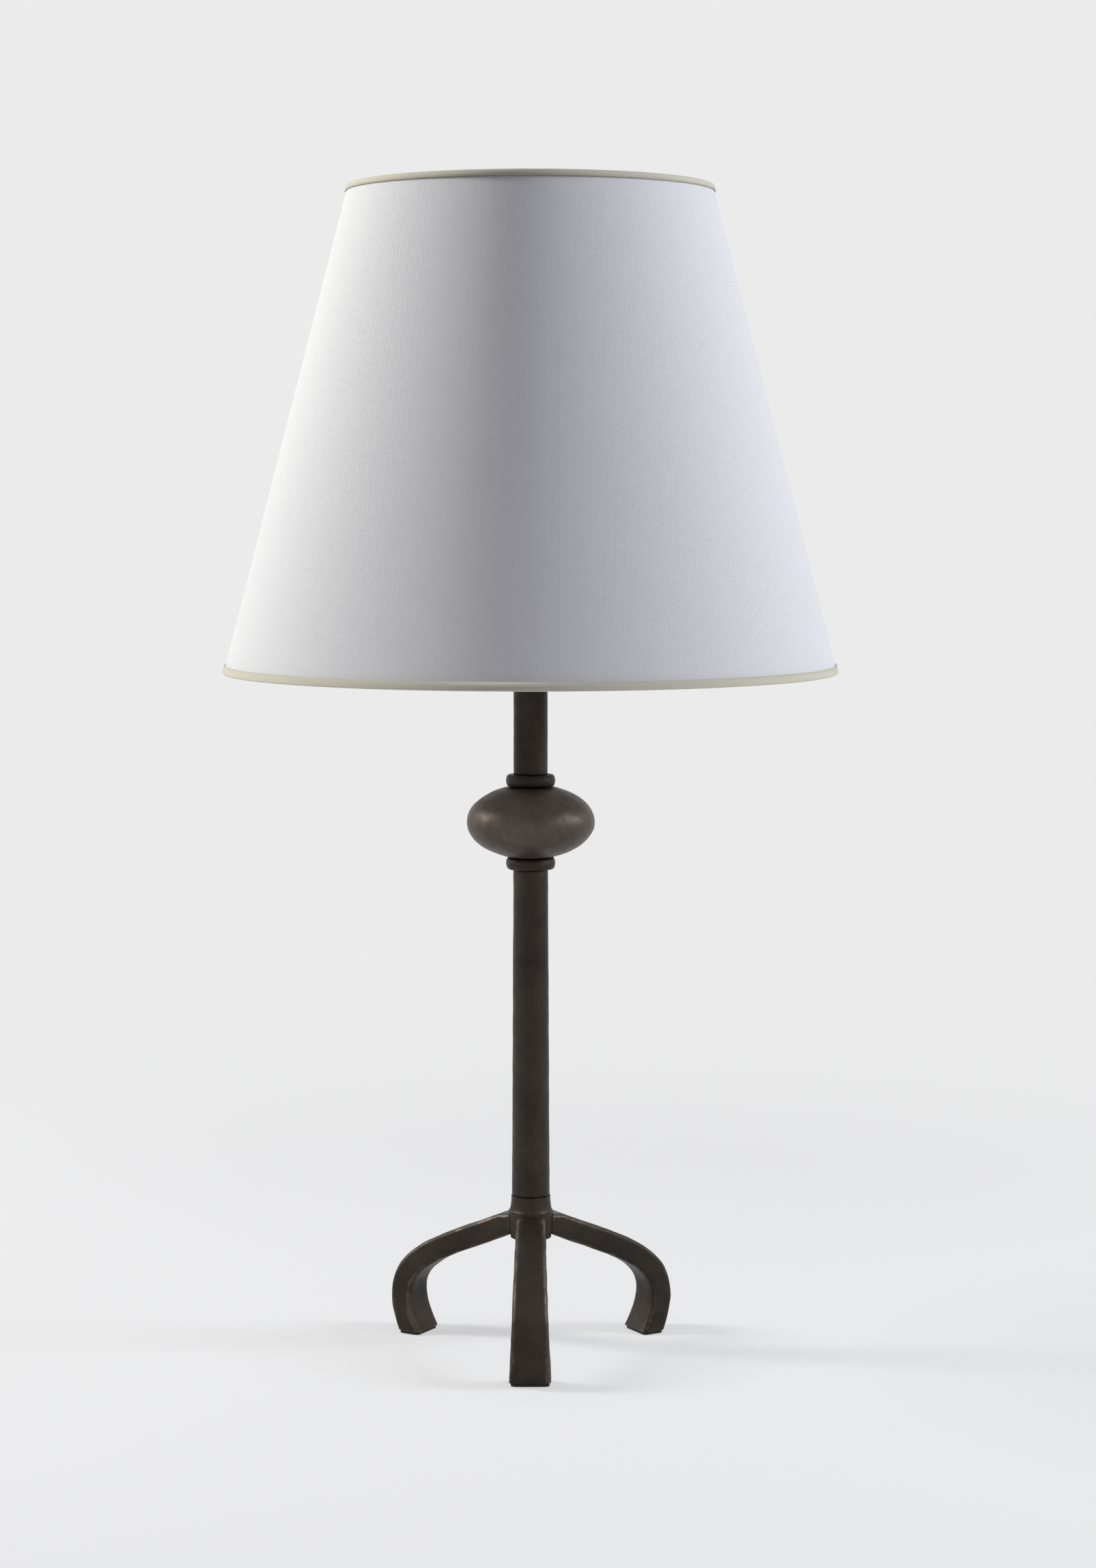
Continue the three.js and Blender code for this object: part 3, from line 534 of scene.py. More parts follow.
def curvePoints(*controls, count=24):
    # points of a cubic curve given by four (x, z) control points
    ends = [Vector((x, z, 0)) for x, z in controls]
    return [(p.x, p.y) for p in interpolate_bezier(ends[0], ends[1], ends[2], ends[3], count)]


hammer = {"falloff": 1.6, "wave": 0.6, "waveLength": 4}  # the wave's length counts in marks


def forge(bm, depth, cell, seed, inner=0.0):
    # hammer marks: every mark goes inwards, so the piece keeps its size
    bm.normal_update()
    for vert in bm.verts:
        if inner and hypot(vert.co.x, vert.co.y) < inner:
            continue
        spot = vert.co / cell + Vector((seed, 2 * seed, -seed))
        mark = noise.voronoi(spot)[0][0]
        wave = noise.noise(vert.co / (hammer["waveLength"] * cell) + Vector((seed, 0, seed)))
        dent = max(0.0, 1 - hammer["falloff"] * mark * mark)
        vert.co -= vert.normal * depth * (dent + hammer["wave"] * (wave + 1) / 2)


def markWear(bm, low=0.04, full=0.22):
    # how far each point stands out on an edge, for the rubbed metal
    layer = bm.verts.layers.float.new("wear")
    bm.normal_update()
    for vert in bm.verts:
        bends = [edge.calc_face_angle_signed(0.0) for edge in vert.link_edges if edge.is_manifold]
        bend = sum(bends) / max(1, len(bends))
        vert[layer] = min(1.0, max(0.0, (bend - low) / (full - low)))


def moved(bm, x=0.0, y=0.0, z=0.0):
    bmesh.ops.translate(bm, vec=(x, y, z), verts=bm.verts[:])
    return bm


def rotated(bm, angle, axis="Z"):
    bmesh.ops.rotate(bm, cent=(0, 0, 0), matrix=Matrix.Rotation(angle, 3, axis), verts=bm.verts[:])
    return bm


def joinInto(bm, other):
    # adds another bmesh as a further closed shell of the same piece
    mesh = bpy.data.meshes.new("part")
    other.to_mesh(mesh)
    other.free()
    bm.from_mesh(mesh)
    bpy.data.meshes.remove(mesh)
    return bm


def place(name, bm, material, body, slot, *nodes, crease=38):
    # a finished bmesh becomes a piece that rides on its body and stands for its CAD nodes
    markWear(bm)
    mesh = bpy.data.meshes.new(name)
    bm.to_mesh(mesh)
    bm.free()
    mesh.materials.append(material)
    mesh.shade_smooth()
    mesh.set_sharp_from_angle(angle=radians(crease))
    piece = addObject(name, mesh)
    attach(piece, body)
    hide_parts(*nodes)
    return piece


def levels(node):
    low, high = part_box(node)
    return low.z, high.z


def reach(node):
    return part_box(node)[1].x


# Legs
leg = {
    "root": (0.0, 0.081),
    "shoulder": (0.048, 0.054),
    "knee": (0.1055, 0.052),
    "foot": (0.0775, 0.0),
    "thickness": 0.014,
    "rootWidth": 0.0175,
    "footWidth": 0.0245,
    "corner": 0.0026,
    "stations": 84,
    "flat": 0.0026,  # the longest edge across the bar
    "clear": 0.0008,  # the path starts this far outside the hub
    "seat": 0.00004,
    "soleSoft": 0.0008,
    "dentDepth": 0.00028,
    "dentSize": 0.010,
}
sideAngles = {"front": -pi / 2, "right": pi / 6, "left": 5 * pi / 6}


def makeLeg(side, angle):
    sole = levels(side + "_leg")[0]
    hubRadius = reach("hub")
    path = curvePoints(leg["root"], leg["shoulder"], leg["knee"], leg["foot"], count=leg["stations"])
    path = [point for point in path if point[0] > hubRadius + leg["clear"]]
    # one more point takes it past the sole, where it is cut off
    (lastX, lastZ), (x, z) = path[-1], path[-2]
    past = leg["thickness"] / hypot(lastX - x, lastZ - z)
    path.append((lastX + (lastX - x) * past, lastZ + (lastZ - z) * past))
    rootLevel = path[0][1]

    def widen(x, z):
        down = min(1.0, max(0.0, 1 - z / rootLevel))
        return 1 + (leg["footWidth"] / leg["rootWidth"] - 1) * down

    bm = bmesh.new()
    barSection(bm, leg["thickness"], leg["rootWidth"], leg["corner"], leg["flat"])
    rootPoints = bm.verts[:]
    sweep(bm, planarStations(path, widen))
    # the root is drawn up to the hub's round side
    for vert in rootPoints:
        vert.co.x = sqrt((hubRadius + leg["seat"]) ** 2 - vert.co.y**2)
    below = bmesh.ops.bisect_plane(
        bm,
        geom=bm.verts[:] + bm.edges[:] + bm.faces[:],
        plane_co=(0, 0, sole),
        plane_no=(0, 0, -1),
        clear_outer=True,
    )
    bmesh.ops.edgeloop_fill(bm, edges=onlyEdges(below["geom_cut"]))
    orient(bm)
    forge(bm, leg["dentDepth"], leg["dentSize"], seed=3.7 + angle)
    for vert in bm.verts:
        vert.co.z = max(vert.co.z, sole)
    flatEdges = [edge for edge in bm.edges if all(abs(v.co.z - sole) < 1e-6 for v in edge.verts)]
    bevel(bm, flatEdges, leg["soleSoft"], 3)
    place(side + "LegBar", rotated(bm, angle), iron, "base", "iron", side + "_leg")


def makePad(side, angle):
    # all three sizes are read from the front leg's pad, which lies square to the axes
    low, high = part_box("front_foot_pad")
    bm = bmesh.new()
    barSection(bm, high.y - low.y, high.x - low.x, corner=0.0025, longest=0.01)
    out = -(low.y + high.y) / 2
    sweep(bm, [Matrix.Translation((out, 0, z)) for z in (low.z, high.z)])
    soften(bm, 0.0003)
    place(side + "FootPad", rotated(bm, angle), rubber, "base", "rubber", side + "_foot_pad")


for side, angle in sideAngles.items():
    makeLeg(side, angle)
    makePad(side, angle)
print("legs and pads made")


# Hub and the clamp under it
hub = {"waist": 0.0116, "cove": 0.009}
rodHole = 0.0053  # the bore of all that sits on the rod


def makeHub():
    low, high = levels("hub")
    radius = reach("hub")
    cove = arc((radius, high), (radius - hub["waist"], hub["cove"]), 270, 180, 10)
    side = [(radius, low), (radius, high - hub["cove"]), *cove[1:]]
    bm = lathe([(rodHole, low), *side, (rodHole, high)], step=0.0025, soft=0.0008)
    forge(bm, depth=0.00015, cell=0.008, seed=1.3, inner=0.009)
    place("forgedHub", bm, iron, "base", "iron", "hub")


def makeDisc(name, node, material, slot, soft):
    bm = lathe(ringLine(rodHole, reach(node), *levels(node)), soft=soft)
    place(name, bm, material, "base", slot, node)


def makeNut():
    low, high = levels("bottom_nut")
    bm = bmesh.new()
    bmesh.ops.create_circle(bm, radius=reach("bottom_nut"), segments=6)
    bmesh.ops.subdivide_edges(bm, edges=bm.edges[:], cuts=3)
    bmesh.ops.create_circle(bm, radius=rodHole, segments=24)
    bmesh.ops.bridge_loops(bm, edges=bm.edges[:])
    rotated(bm, pi / 6)  # brings a corner to the X axis
    bmesh.ops.solidify(bm, geom=bm.faces[:], thickness=high - low)
    orient(bm)
    moved(bm, z=low - min(vert.co.z for vert in bm.verts))
    soften(bm, 0.0005, sharp=radians(40))
    place("rodNut", bm, steel, "base", "steel", "bottom_nut")


rod = {"radius": 0.005, "wall": 0.001, "pitch": 0.001, "turns": 14, "lead": 0.0004, "depth": 0.00045}


def makeRod():
    # a hollow pipe with its thread cut at the lower end, where it shows under the nut
    low, high = levels("threaded_rod")
    radius, wall, pitch, turns, lead, depth = rod.values()
    bore, plain, start = radius - wall, radius - 0.0002, low + lead
    outline = [(bore, low), (radius - 0.0005, low), *threadLine(radius, depth, start, pitch, turns)]
    outline += [(plain, start + turns * pitch), (plain, high), (bore, high)]
    bm = lathe(outline, sides=64, soft=0.0)
    place("hollowRod", bm, steel, "base", "steel", "threaded_rod", crease=25)


def makeBush():
    low, high = levels("cord_bush")
    outer, flange, bore, top = 0.0037, 0.0055, 0.0030, low + 0.0025
    outline = [(bore, low), (flange, low), (flange, top), (outer, top), (outer, high), (bore, high)]
    bm = lathe(outline, sides=64)
    place("inletBush", bm, blackPlastic, "base", "black_plastic", "cord_bush")


makeHub()
makeDisc("clampDisc", "clamp_plate", iron, "iron", 0.0005)
makeDisc("lockWasher", "lock_washer", steel, "steel", 0.0002)
makeNut()
makeRod()
makeBush()
print("hub and clamp made")


# Stem, rings, knop and neck
knop = {"radius": 0.0375, "halfHeight": 0.022, "dentDepth": 0.0003, "dentSize": 0.011}


def makeTube(name, node, bottom, top, depth, cell, seed):
    # bottom and top are its radii, and the last three are for its hammer marks
    low, high = levels(node)
    outline = [(rodHole, low), (bottom, low), (top, high), (rodHole, high)]
    bm = lathe(outline, step=0.003, soft=0.0004)
    forge(bm, depth, cell, seed, inner=0.0095)
    place(name, bm, iron, "base", "iron", node)


def makeRing(name, node, seed):
    low, high = levels(node)
    outer = reach(node)
    half = (high - low) / 2
    nose = arc((outer - half / 2, low + half), (half / 2, half), -90, 90, 16)
    bm = lathe([(rodHole, low), *nose, (rodHole, high)], step=0.002, soft=0.0)
    forge(bm, depth=0.0001, cell=0.007, seed=seed, inner=0.0125)
    place(name, bm, iron, "base", "iron", node)


def makeKnop():
    low, high = levels("knop")
    edge = degrees(asin((high - low) / 2 / knop["halfHeight"]))
    side = arc((0, (low + high) / 2), (knop["radius"], knop["halfHeight"]), -edge, edge, 40)
    bm = lathe([(rodHole, low), *side, (rodHole, high)], sides=128, soft=0.0)
    forge(bm, knop["dentDepth"], knop["dentSize"], seed=8.2, inner=0.0135)
    place("knopBall", bm, knopIronPaintedLighter, "base", "iron", "knop")


makeTube("stemTube", "lower_stem", 0.0112, 0.0102, depth=0.00016, cell=0.010, seed=5.1)
makeRing("lowerRing", "lower_collar", 4.4)
makeRing("upperRing", "upper_collar", 6.6)
makeKnop()
makeTube("neckTube", "neck", reach("neck"), reach("neck"), depth=0.00012, cell=0.009, seed=2.6)
print("stem and knop made")


# Saddle, harp and sleeves
wire = {"radius": 0.00225, "sides": 20}
harp = {
    "foot": 0.034,
    "straight": 0.034,
    "bulge": 0.058,
    "bulgeHeight": 0.118,
    "rise": 0.218,
    "flat": 0.010,
    "roundness": 0.5523,
}


def makeSaddle():
    low, high = levels("harp_saddle")
    thickness, width, bend = 0.002, 0.012, 0.0035
    foot, earTop = harp["foot"], low + 0.009
    middle = low + thickness / 2
    corner = arc((foot - bend, middle + bend), (bend, bend), -90, 0, 10)
    half = [(0.0, middle), (0.012, middle), *corner, (foot, earTop)]
    path = [(-x, z) for x, z in reversed(half[1:])] + half
    bm = bmesh.new()
    barSection(bm, thickness, width, corner=0.0006, longest=0.004)
    sweep(bm, planarStations(path))
    soften(bm, 0.0003)
    for side in (-1, 1):
        # the pins that the harp's feet stand on, swaged on the ears
        pin = lathe(ringLine(0, wire["radius"], earTop - 0.002, high), sides=32)
        joinInto(bm, moved(pin, x=side * foot))
    place("saddleStrip", bm, brass, "base", "brass", "harp_saddle")


def makeHarp():
    low, high = levels("harp")
    foot, straight, bulge, widest, top, flat, lean = harp.values()
    straight, widest, top = low + straight, low + widest, low + top
    middle = (straight + widest) / 2
    side = [(foot, low + (straight - low) * i / 10) for i in range(10)]
    side += curvePoints((foot, straight), (foot, middle), (bulge, middle), (bulge, widest), count=36)[:-1]
    pulls = (bulge, widest + lean * (top - widest)), (flat + lean * (bulge - flat), top)
    side += curvePoints((bulge, widest), *pulls, (flat, top), count=48)
    path = side + [(0.0, top)] + [(-x, z) for x, z in reversed(side)]
    bm = bmesh.new()
    roundSection(bm, wire["radius"], wire["sides"])
    sweep(bm, planarStations(path))
    soften(bm, 0.0003)
    place("harpWire", bm, brass, "harp", "brass", "harp")


def makeStud():
    low, high = levels("harp_stud")
    bossWidth, bossTop, radius, depth, turns = 0.010, low + 0.010, 0.0031, 0.0003, 14
    bm = bmesh.new()
    barSection(bm, bossWidth, bossWidth, corner=0.0006, longest=0.02)
    sweep(bm, [Matrix.Translation((0, 0, z)) for z in (low, bossTop)])
    soften(bm, 0.0005, sharp=radians(50))
    sunk = bossTop - 0.001
    pitch = (high - bossTop - 0.001) / turns
    outline = [(0, sunk), (radius - depth, sunk), *threadLine(radius, depth, bossTop, pitch, turns)]
    outline += [(radius - 0.0004, high - 0.0008), (radius - 0.0009, high), (0, high)]
    joinInto(bm, lathe(outline, sides=48, soft=0.0))
    place("harpBoss", bm, brass, "harp", "brass", "harp_stud", crease=30)


def makeSleeve(side, sign):
    node = side + "_ferrule"
    low, high = levels(node)
    inner, outer, lip = 0.0026, 0.0037, 0.0005
    outline = [(inner, low), (outer, low), (outer, low + 2 * lip), (outer - lip, low + 3 * lip)]
    outline += [(outer - lip, high - 3 * lip), (outer, high - 2 * lip), (outer, high), (inner, high)]
    bm = moved(lathe(outline, sides=48, soft=0.00015), x=sign * harp["foot"])
    place(side + "Sleeve", bm, brass, node, "brass", node)


makeDisc("neckDisc", "neck_cap", brass, "brass", 0.0008)
makeSaddle()
makeHarp()
makeStud()
makeSleeve("right", 1)
makeSleeve("left", -1)
print("harp made")


# Lampholder
holder = {"neckRadius": 0.008, "neckHeight": 0.009, "wall": 0.0006, "radius": 0.0172, "flat": 0.0089}


def makeHolderCap():
    low, high = levels("socket_cap")
    neck, neckHeight, wall, radius, flat = holder.values()
    floor, rim = low + neckHeight, high - 0.005
    outline = [(rodHole, low), (neck, low), (neck, floor)]
    outline += arc((flat, rim), (radius - flat, rim - floor), -90, 0, 18)
    outline += [(radius, high), (radius - wall, high)]
    outline += arc((flat, rim), (radius - wall - flat, rim - floor - wall), 0, -90, 18)
    outline += [(rodHole, floor + wall)]
    place("holderCap", lathe(outline, soft=0.0002), brass, "base", "brass", "socket_cap")


def makeHolderShell():
    low, high = levels("socket_shell")
    wall = holder["wall"]
    clearance, bead = 0.0003, (0.0006, 0.0010)
    outer = holder["radius"] - wall - clearance
    beads = []
    for level in (high - 0.0165, high - 0.0015):
        beads += arc((outer, level), bead, -90, 90, 8)
    outline = [(outer - wall, low), (outer, low), *beads, (outer, high), (outer - wall, high)]
    place("holderShell", lathe(outline, soft=0.0), brass, "base", "brass", "socket_shell")


knob = {"flutes": 18, "depth": 0.0004, "radius": 0.0065, "shaft": 0.0016}


def makeSwitch():
    low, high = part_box("switch_knob")
    level = (low.z + high.z) / 2
    bm = bmesh.new()
    flutes, depth, radius, shaft = knob.values()
    roundSection(bm, radius, flutes * 8)
    for vert in bm.verts:
        angle = atan2(vert.co.y, vert.co.x)
        vert.co *= 1 - depth / radius * (1 - cos(flutes * angle)) / 2
    length = high.y - low.y
    nose = ((0.0, 0.90), (0.0006, 0.97), (0.0014, 1.0))
    shares = [*nose, *((length - z, share) for z, share in reversed(nose))]
    sweep(bm, [Matrix.Translation((0, 0, z)) @ Matrix.Diagonal((k, k, 1, 1)) for z, k in shares])
    moved(rotated(bm, pi / 2, "X"), y=high.y, z=level)
    place("switchGrip", bm, blackPlastic, "switch", "black_plastic", "switch_knob", crease=50)
    low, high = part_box("switch_shaft")
    bm = lathe(ringLine(0, shaft, 0, high.y - low.y), sides=32)
    moved(rotated(bm, pi / 2, "X"), y=high.y, z=level)
    place("switchStem", bm, brass, "switch", "brass", "switch_shaft")


bulb = {"globe": 0.0275, "shoulder": 0.018, "drop": 0.0215, "wall": 0.0008}
screwCap = {"depth": 0.0007, "pitch": 0.0036, "turns": 5, "sheet": 0.0006, "lip": 0.0053}


def makeBulb():
    low, high = levels("bulb_globe")
    capTop = levels("bulb_cap")[1]
    neck = reach("bulb_cap") - 0.0016
    globe, shoulder, drop, wall = bulb.values()
    centre = high - globe

    def skin(inset):
        ball = arc((0, centre), (globe - inset, globe - inset), 90, -22, 40)
        last = ball[-1]
        side = curvePoints(
            last,
            (last[0] - 0.0035, last[1] - 0.0085),
            (shoulder - inset - 0.0015, centre - drop - 0.006),
            (neck - inset, capTop + 0.004),
            count=20,
        )
        return ball + side[1:] + [(neck - inset, low)]

    outline = skin(0.0) + list(reversed(skin(wall)))
    outline = [(max(radius, 0.0), height) for radius, height in outline]
    place("bulbGlass", lathe(outline, soft=0.0), opal, "bulb", "opal_glass", "bulb_globe", crease=60)


def makeScrewCap():
    # a rolled thread, so its profile is a wave
    low, high = levels("bulb_cap")
    depth, pitch, turns, sheet, lip = screwCap.values()
    outer, floor = reach("bulb_cap"), low + sheet
    root = outer - depth
    outline = [(lip, low), (root, low)]
    for i in range(turns):
        for share in (k / 8 for k in range(8)):
            sunk = depth * (1 + cos(2 * pi * share)) / 2
            outline.append((outer - sunk, floor + i * pitch + pitch * share))
    outline += [(root, floor + turns * pitch), (root, high)]
    outline += [(root - sheet, high), (root - sheet, floor), (lip, floor)]
    bm = lathe(outline, sides=72, soft=0.0)
    place("bulbScrewCap", bm, nickel, "bulb", "contact_metal", "bulb_cap")


makeHolderCap()
makeHolderShell()
makeSwitch()
makeBulb()
makeScrewCap()
print("lampholder and bulb made")


# Shade
shade = {
    "topRadius": 0.104,
    "bottomRadius": 0.177,
    "fabric": 0.0005,
    "lining": 0.0006,
    "gap": 0.0003,
    "tape": 0.0007,
    "tapeRounding": 0.0008,
    "topTape": 0.004,
    "bottomTape": 0.0052,
    "wire": 0.0015,
    "wireSides": 14,
    "drop": 0.020,
    "seamLap": 0.011,
    "seamLift": 0.0005,
    "seamClimb": 0.012,
    "lapColumns": 6,
    "columns": 216,
    "rows": 64,
}
shadeTop = levels("top_trim")[1]
shadeBottom = levels("bottom_trim")[0]
slope = (shade["bottomRadius"] - shade["topRadius"]) / (shadeTop - shadeBottom)
slant = hypot(1, slope)  # length along the slant for each metre of height
apex = shadeTop + shade["topRadius"] / slope
panelTop = shadeTop - shade["tape"] - shade["gap"]
panelBottom = shadeBottom + shade["tape"] + shade["gap"]


def shadeRadius(z, offset=0.0):
    return shade["topRadius"] + slope * (shadeTop - z) + offset


def spinWall(profile, columns, lap=0.0):
    # a wall spun from the back seam; its "turn" layer counts the angle from the seam,
    # and goes past the full turn in a lap
    bm = bmesh.new()
    layer = bm.verts.layers.float.new("turn")
    seam = pi / 2
    points = [bm.verts.new((radius * cos(seam), radius * sin(seam), z)) for radius, z in profile]
    last = points + [bm.edges.new(pair) for pair in zip(points, points[1:])]
    steps = [2 * pi / columns] * columns
    if lap:
        steps += [lap / shade["lapColumns"]] * shade["lapColumns"]
    around = {"cent": (0, 0, 0), "axis": (0, 0, 1), "steps": 1, "use_merge": False}
    angle = 0.0
    for step in steps:
        last = bmesh.ops.spin(bm, geom=last, angle=step, **around)["geom_last"]
        angle += step
        for vert in onlyPoints(last):
            vert[layer] = angle
    return bm, layer


def wallLine(rows, offset=0.0):
    # the panel's profile from its lower to its upper edge
    heights = [panelBottom + (panelTop - panelBottom) * i / rows for i in range(rows + 1)]
    return [(shadeRadius(z, offset), z) for z in heights]


def giveUV(bm, layer, toFlat):
    # writes the cloth's flat coordinates, in metres, as its UV map
    uv = bm.loops.layers.uv.new("flat")
    for face in bm.faces:
        for loop in face.loops:
            loop[uv].uv = toFlat(loop.vert, loop.vert[layer])


def outwards(bm):
    # faces of an open wall look away from the Z axis
    bm.normal_update()
    for face in bm.faces:
        centre = face.calc_center_median()
        if face.normal.x * centre.x + face.normal.y * centre.y < 0:
            face.normal_flip()


def thicken(piece, thickness, offset):
    modifier = piece.modifiers.new("solidify", "SOLIDIFY")
    modifier.thickness = thickness
    modifier.offset = offset


def makeFabric():
    lap = shade["seamLap"] / shade["bottomRadius"]
    bm, layer = spinWall(wallLine(shade["rows"]), shade["columns"], lap)
    # the cloth is one flat sector of a ring, rolled to the cone, with its warp upright in front
    half = sin(atan(slope))

    def toFlat(vert, angle):
        ray = (apex - vert.co.z) * slant
        swing = (angle - pi) * half
        return ray * sin(swing), -ray * cos(swing)

    giveUV(bm, layer, toFlat)
    # the cloth's end climbs just before it laps over its start
    climb = shade["seamClimb"] / shade["bottomRadius"]
    for vert in bm.verts:
        rise = min(1.0, max(0.0, (vert[layer] - (2 * pi - climb)) / climb))
        lift = shade["seamLift"] * rise * rise * (3 - 2 * rise)
        stretch = 1 + lift / hypot(vert.co.x, vert.co.y)
        vert.co.x *= stretch
        vert.co.y *= stretch
    outwards(bm)
    piece = place("shadeFabric", bm, linen, "shade", "linen", "shade_cover")
    thicken(piece, shade["fabric"], offset=-1.0)
    return piece


def makeLining():
    bm = spinWall(wallLine(8, -shade["fabric"] - shade["gap"]), 192)[0]
    bmesh.ops.remove_doubles(bm, verts=bm.verts[:], dist=1e-6)
    outwards(bm)
    piece = place("shadeLining", bm, styrene, "shade", "styrene", "shade_backing")
    thicken(piece, shade["lining"], offset=-1.0)


def makeTape(name, node, edge, inwards, height):
    # a tape folded over the shade's edge and its wire, spun from the middle of its thickness
    half = shade["tape"] / 2
    outer = shade["gap"] + half
    inner = -shade["fabric"] - shade["lining"] - 2 * shade["wire"] - 3 * shade["gap"] - half
    end = edge + inwards * (height - half)
    halfway = (end + edge) / 2
    rounding = shade["tapeRounding"]
    profile = [(shadeRadius(end, outer), end), (shadeRadius(halfway, outer), halfway)]
    for centre, start in ((outer - rounding, 0), (inner + rounding, 90)):
        for share in range(6):
            swing = radians(start + 18 * share)
            z = edge + inwards * (half + rounding - rounding * sin(swing))
            profile.append((shadeRadius(z, centre + rounding * cos(swing)), z))
    profile += [(shadeRadius(halfway, inner), halfway), (shadeRadius(end, inner), end)]
    bm, layer = spinWall(profile, 240)
    lengths = {}
    along = 0.0
    for before, after in zip([profile[0]] + profile, profile):
        along += hypot(after[0] - before[0], after[1] - before[1])
        lengths[after] = along

    def toFlat(vert, angle):
        radius = hypot(vert.co.x, vert.co.y)
        nearest = min(lengths, key=lambda known: hypot(known[0] - radius, known[1] - vert.co.z))
        return angle * shadeRadius(edge), lengths[nearest]

    giveUV(bm, layer, toFlat)
    weld(bm)
    piece = place(name, bm, tapeCloth, "shade", "linen", node, crease=60)
    thicken(piece, shade["tape"], offset=0.0)
    return piece


def makeHoop(radius, level, columns=144):
    # a round wire ring about Z
    bm = bmesh.new()
    roundSection(bm, shade["wire"], shade["wireSides"])
    bmesh.ops.delete(bm, geom=bm.faces[:], context="FACES_ONLY")
    moved(rotated(bm, pi / 2, "X"), x=radius, z=level)
    spinRound(bm, columns)
    return bm


spider = {"washer": 0.011, "thickness": 0.0016, "bore": 0.00345, "bend": 0.008, "step": 0.005}
spiderWeld = {"shape": (1.0, 1.25, 0.85), "ring": 0.0021, "washer": 0.0017}


def makeSpider():
    washer, thickness, bore, bend, step = spider.values()
    radius = reach("shade_spider") - shade["wire"]
    ringLevel = panelTop - shade["wire"]
    washerTop = shadeTop - shade["drop"] + thickness
    level = washerTop - shade["wire"]
    bm = makeHoop(radius, ringLevel)
    drop = [(radius, ringLevel - 0.0005 - i * 0.001) for i in range(1, 6)]
    corner = arc((radius - bend, level + bend), (bend, bend), 0, -90, 10)
    straight = [(radius - bend - i * step, level) for i in range(1, 17)]
    path = [(radius, ringLevel)] + [point for point in drop if point[1] > level + bend] + corner
    path += [point for point in straight if point[0] > washer] + [(washer - 0.002, level)]
    # the weld that holds an arm to the ring, and the one on the washer's edge
    welds = [(radius, ringLevel - 0.0012, spiderWeld["ring"])]
    welds.append((washer + 0.0002, level + 0.0002, spiderWeld["washer"]))
    for angle in sideAngles.values():
        arm = bmesh.new()
        roundSection(arm, shade["wire"], shade["wireSides"])
        sweep(arm, planarStations(path))
        joinInto(bm, rotated(arm, angle))
        for x, z, size in welds:
            bead = bmesh.new()
            bmesh.ops.create_icosphere(bead, subdivisions=3, radius=size)
            bmesh.ops.scale(bead, vec=spiderWeld["shape"], verts=bead.verts[:])
            joinInto(bm, rotated(moved(bead, x=x, z=z), angle))
    joinInto(bm, lathe(ringLine(bore, washer, washerTop - thickness, washerTop), sides=72, soft=0.0003))
    place("spiderFrame", bm, whiteWire, "shade", "white_wire", "shade_spider")


def makeBottomHoop():
    low, high = levels("shade_bottom_ring")
    bm = makeHoop(reach("shade_bottom_ring") - shade["wire"], (low + high) / 2, columns=192)
    place("bottomHoop", bm, whiteWire, "shade", "white_wire", "shade_bottom_ring")


fabric = makeFabric()
makeLining()
topTape = makeTape("topTape", "top_trim", shadeTop, -1, shade["topTape"])
bottomTape = makeTape("bottomTape", "bottom_trim", shadeBottom, 1, shade["bottomTape"])
makeSpider()
makeBottomHoop()


# Finial
def makeFinial():
    low, high = levels("finial")
    radius, ball, bore, rounding = reach("finial"), 0.0052, 0.00345, 0.0012
    depth, skirt = low + 0.0104, low + 0.0030
    outline = [(0, depth), (bore, depth), (bore, low), (radius, low), (radius, skirt - rounding)]
    outline += arc((radius - rounding, skirt - rounding), (rounding, rounding), 0, 90, 6)[1:]
    pulls = (0.0040, skirt + 0.0004), (0.0036, skirt + 0.0012)
    outline += curvePoints((radius - 0.0018, skirt), *pulls, (0.0042, skirt + 0.0028), count=10)
    outline += arc((0, high - ball), (ball, ball), -36, 90, 24)
    bm = lathe(outline, sides=72, soft=0.0)
    place("finialBall", bm, brass, "finial", "brass", "finial")


makeFinial()
print("finial made")


# The CAD pieces that stay as they are, inside the lampholder and the bulb
keptLooks = {
    "socket_set_screw": steel,
    "socket_liner": linerCard,
    "socket_body": blackPlastic,
    "live_terminal_screw": brass,
    "neutral_terminal_screw": steel,
    "screw_shell": nickel,
    "centre_contact": brass,
    "bulb_tip": nickel,
    "bulb_insulator": blackPlastic,
    "bulb_stem": opal,
}
for name, material in keptLooks.items():
    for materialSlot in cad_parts[name].material_slots:
        materialSlot.material = material
print("CAD pieces dressed:", len(keptLooks))


# Floor and light
backdrop = (0.83, 0.83, 0.83)
floorLook = {"radius": 12.0, "near": 0.45, "far": 1.2, "glowShare": 0.50}
floorWhites = {
    "seen": 0.565,  # the paper where it is looked at
    "thrownNear": 0.95,  # and for the light it throws back, which falls off away from the lamp
    "thrownFar": 0.10,
    "glow": 0.98,  # its own glow near the lamp, for what looks straight at it
}


def seenDirectly(tree):
    # camera rays, and the mirror and glass rays that should show the same background
    path = addNode(tree, "LightPath").outputs
    either = maths(tree, "MAXIMUM", path["Is Camera Ray"], path["Is Glossy Ray"])
    return maths(tree, "MAXIMUM", either, path["Is Transmission Ray"])


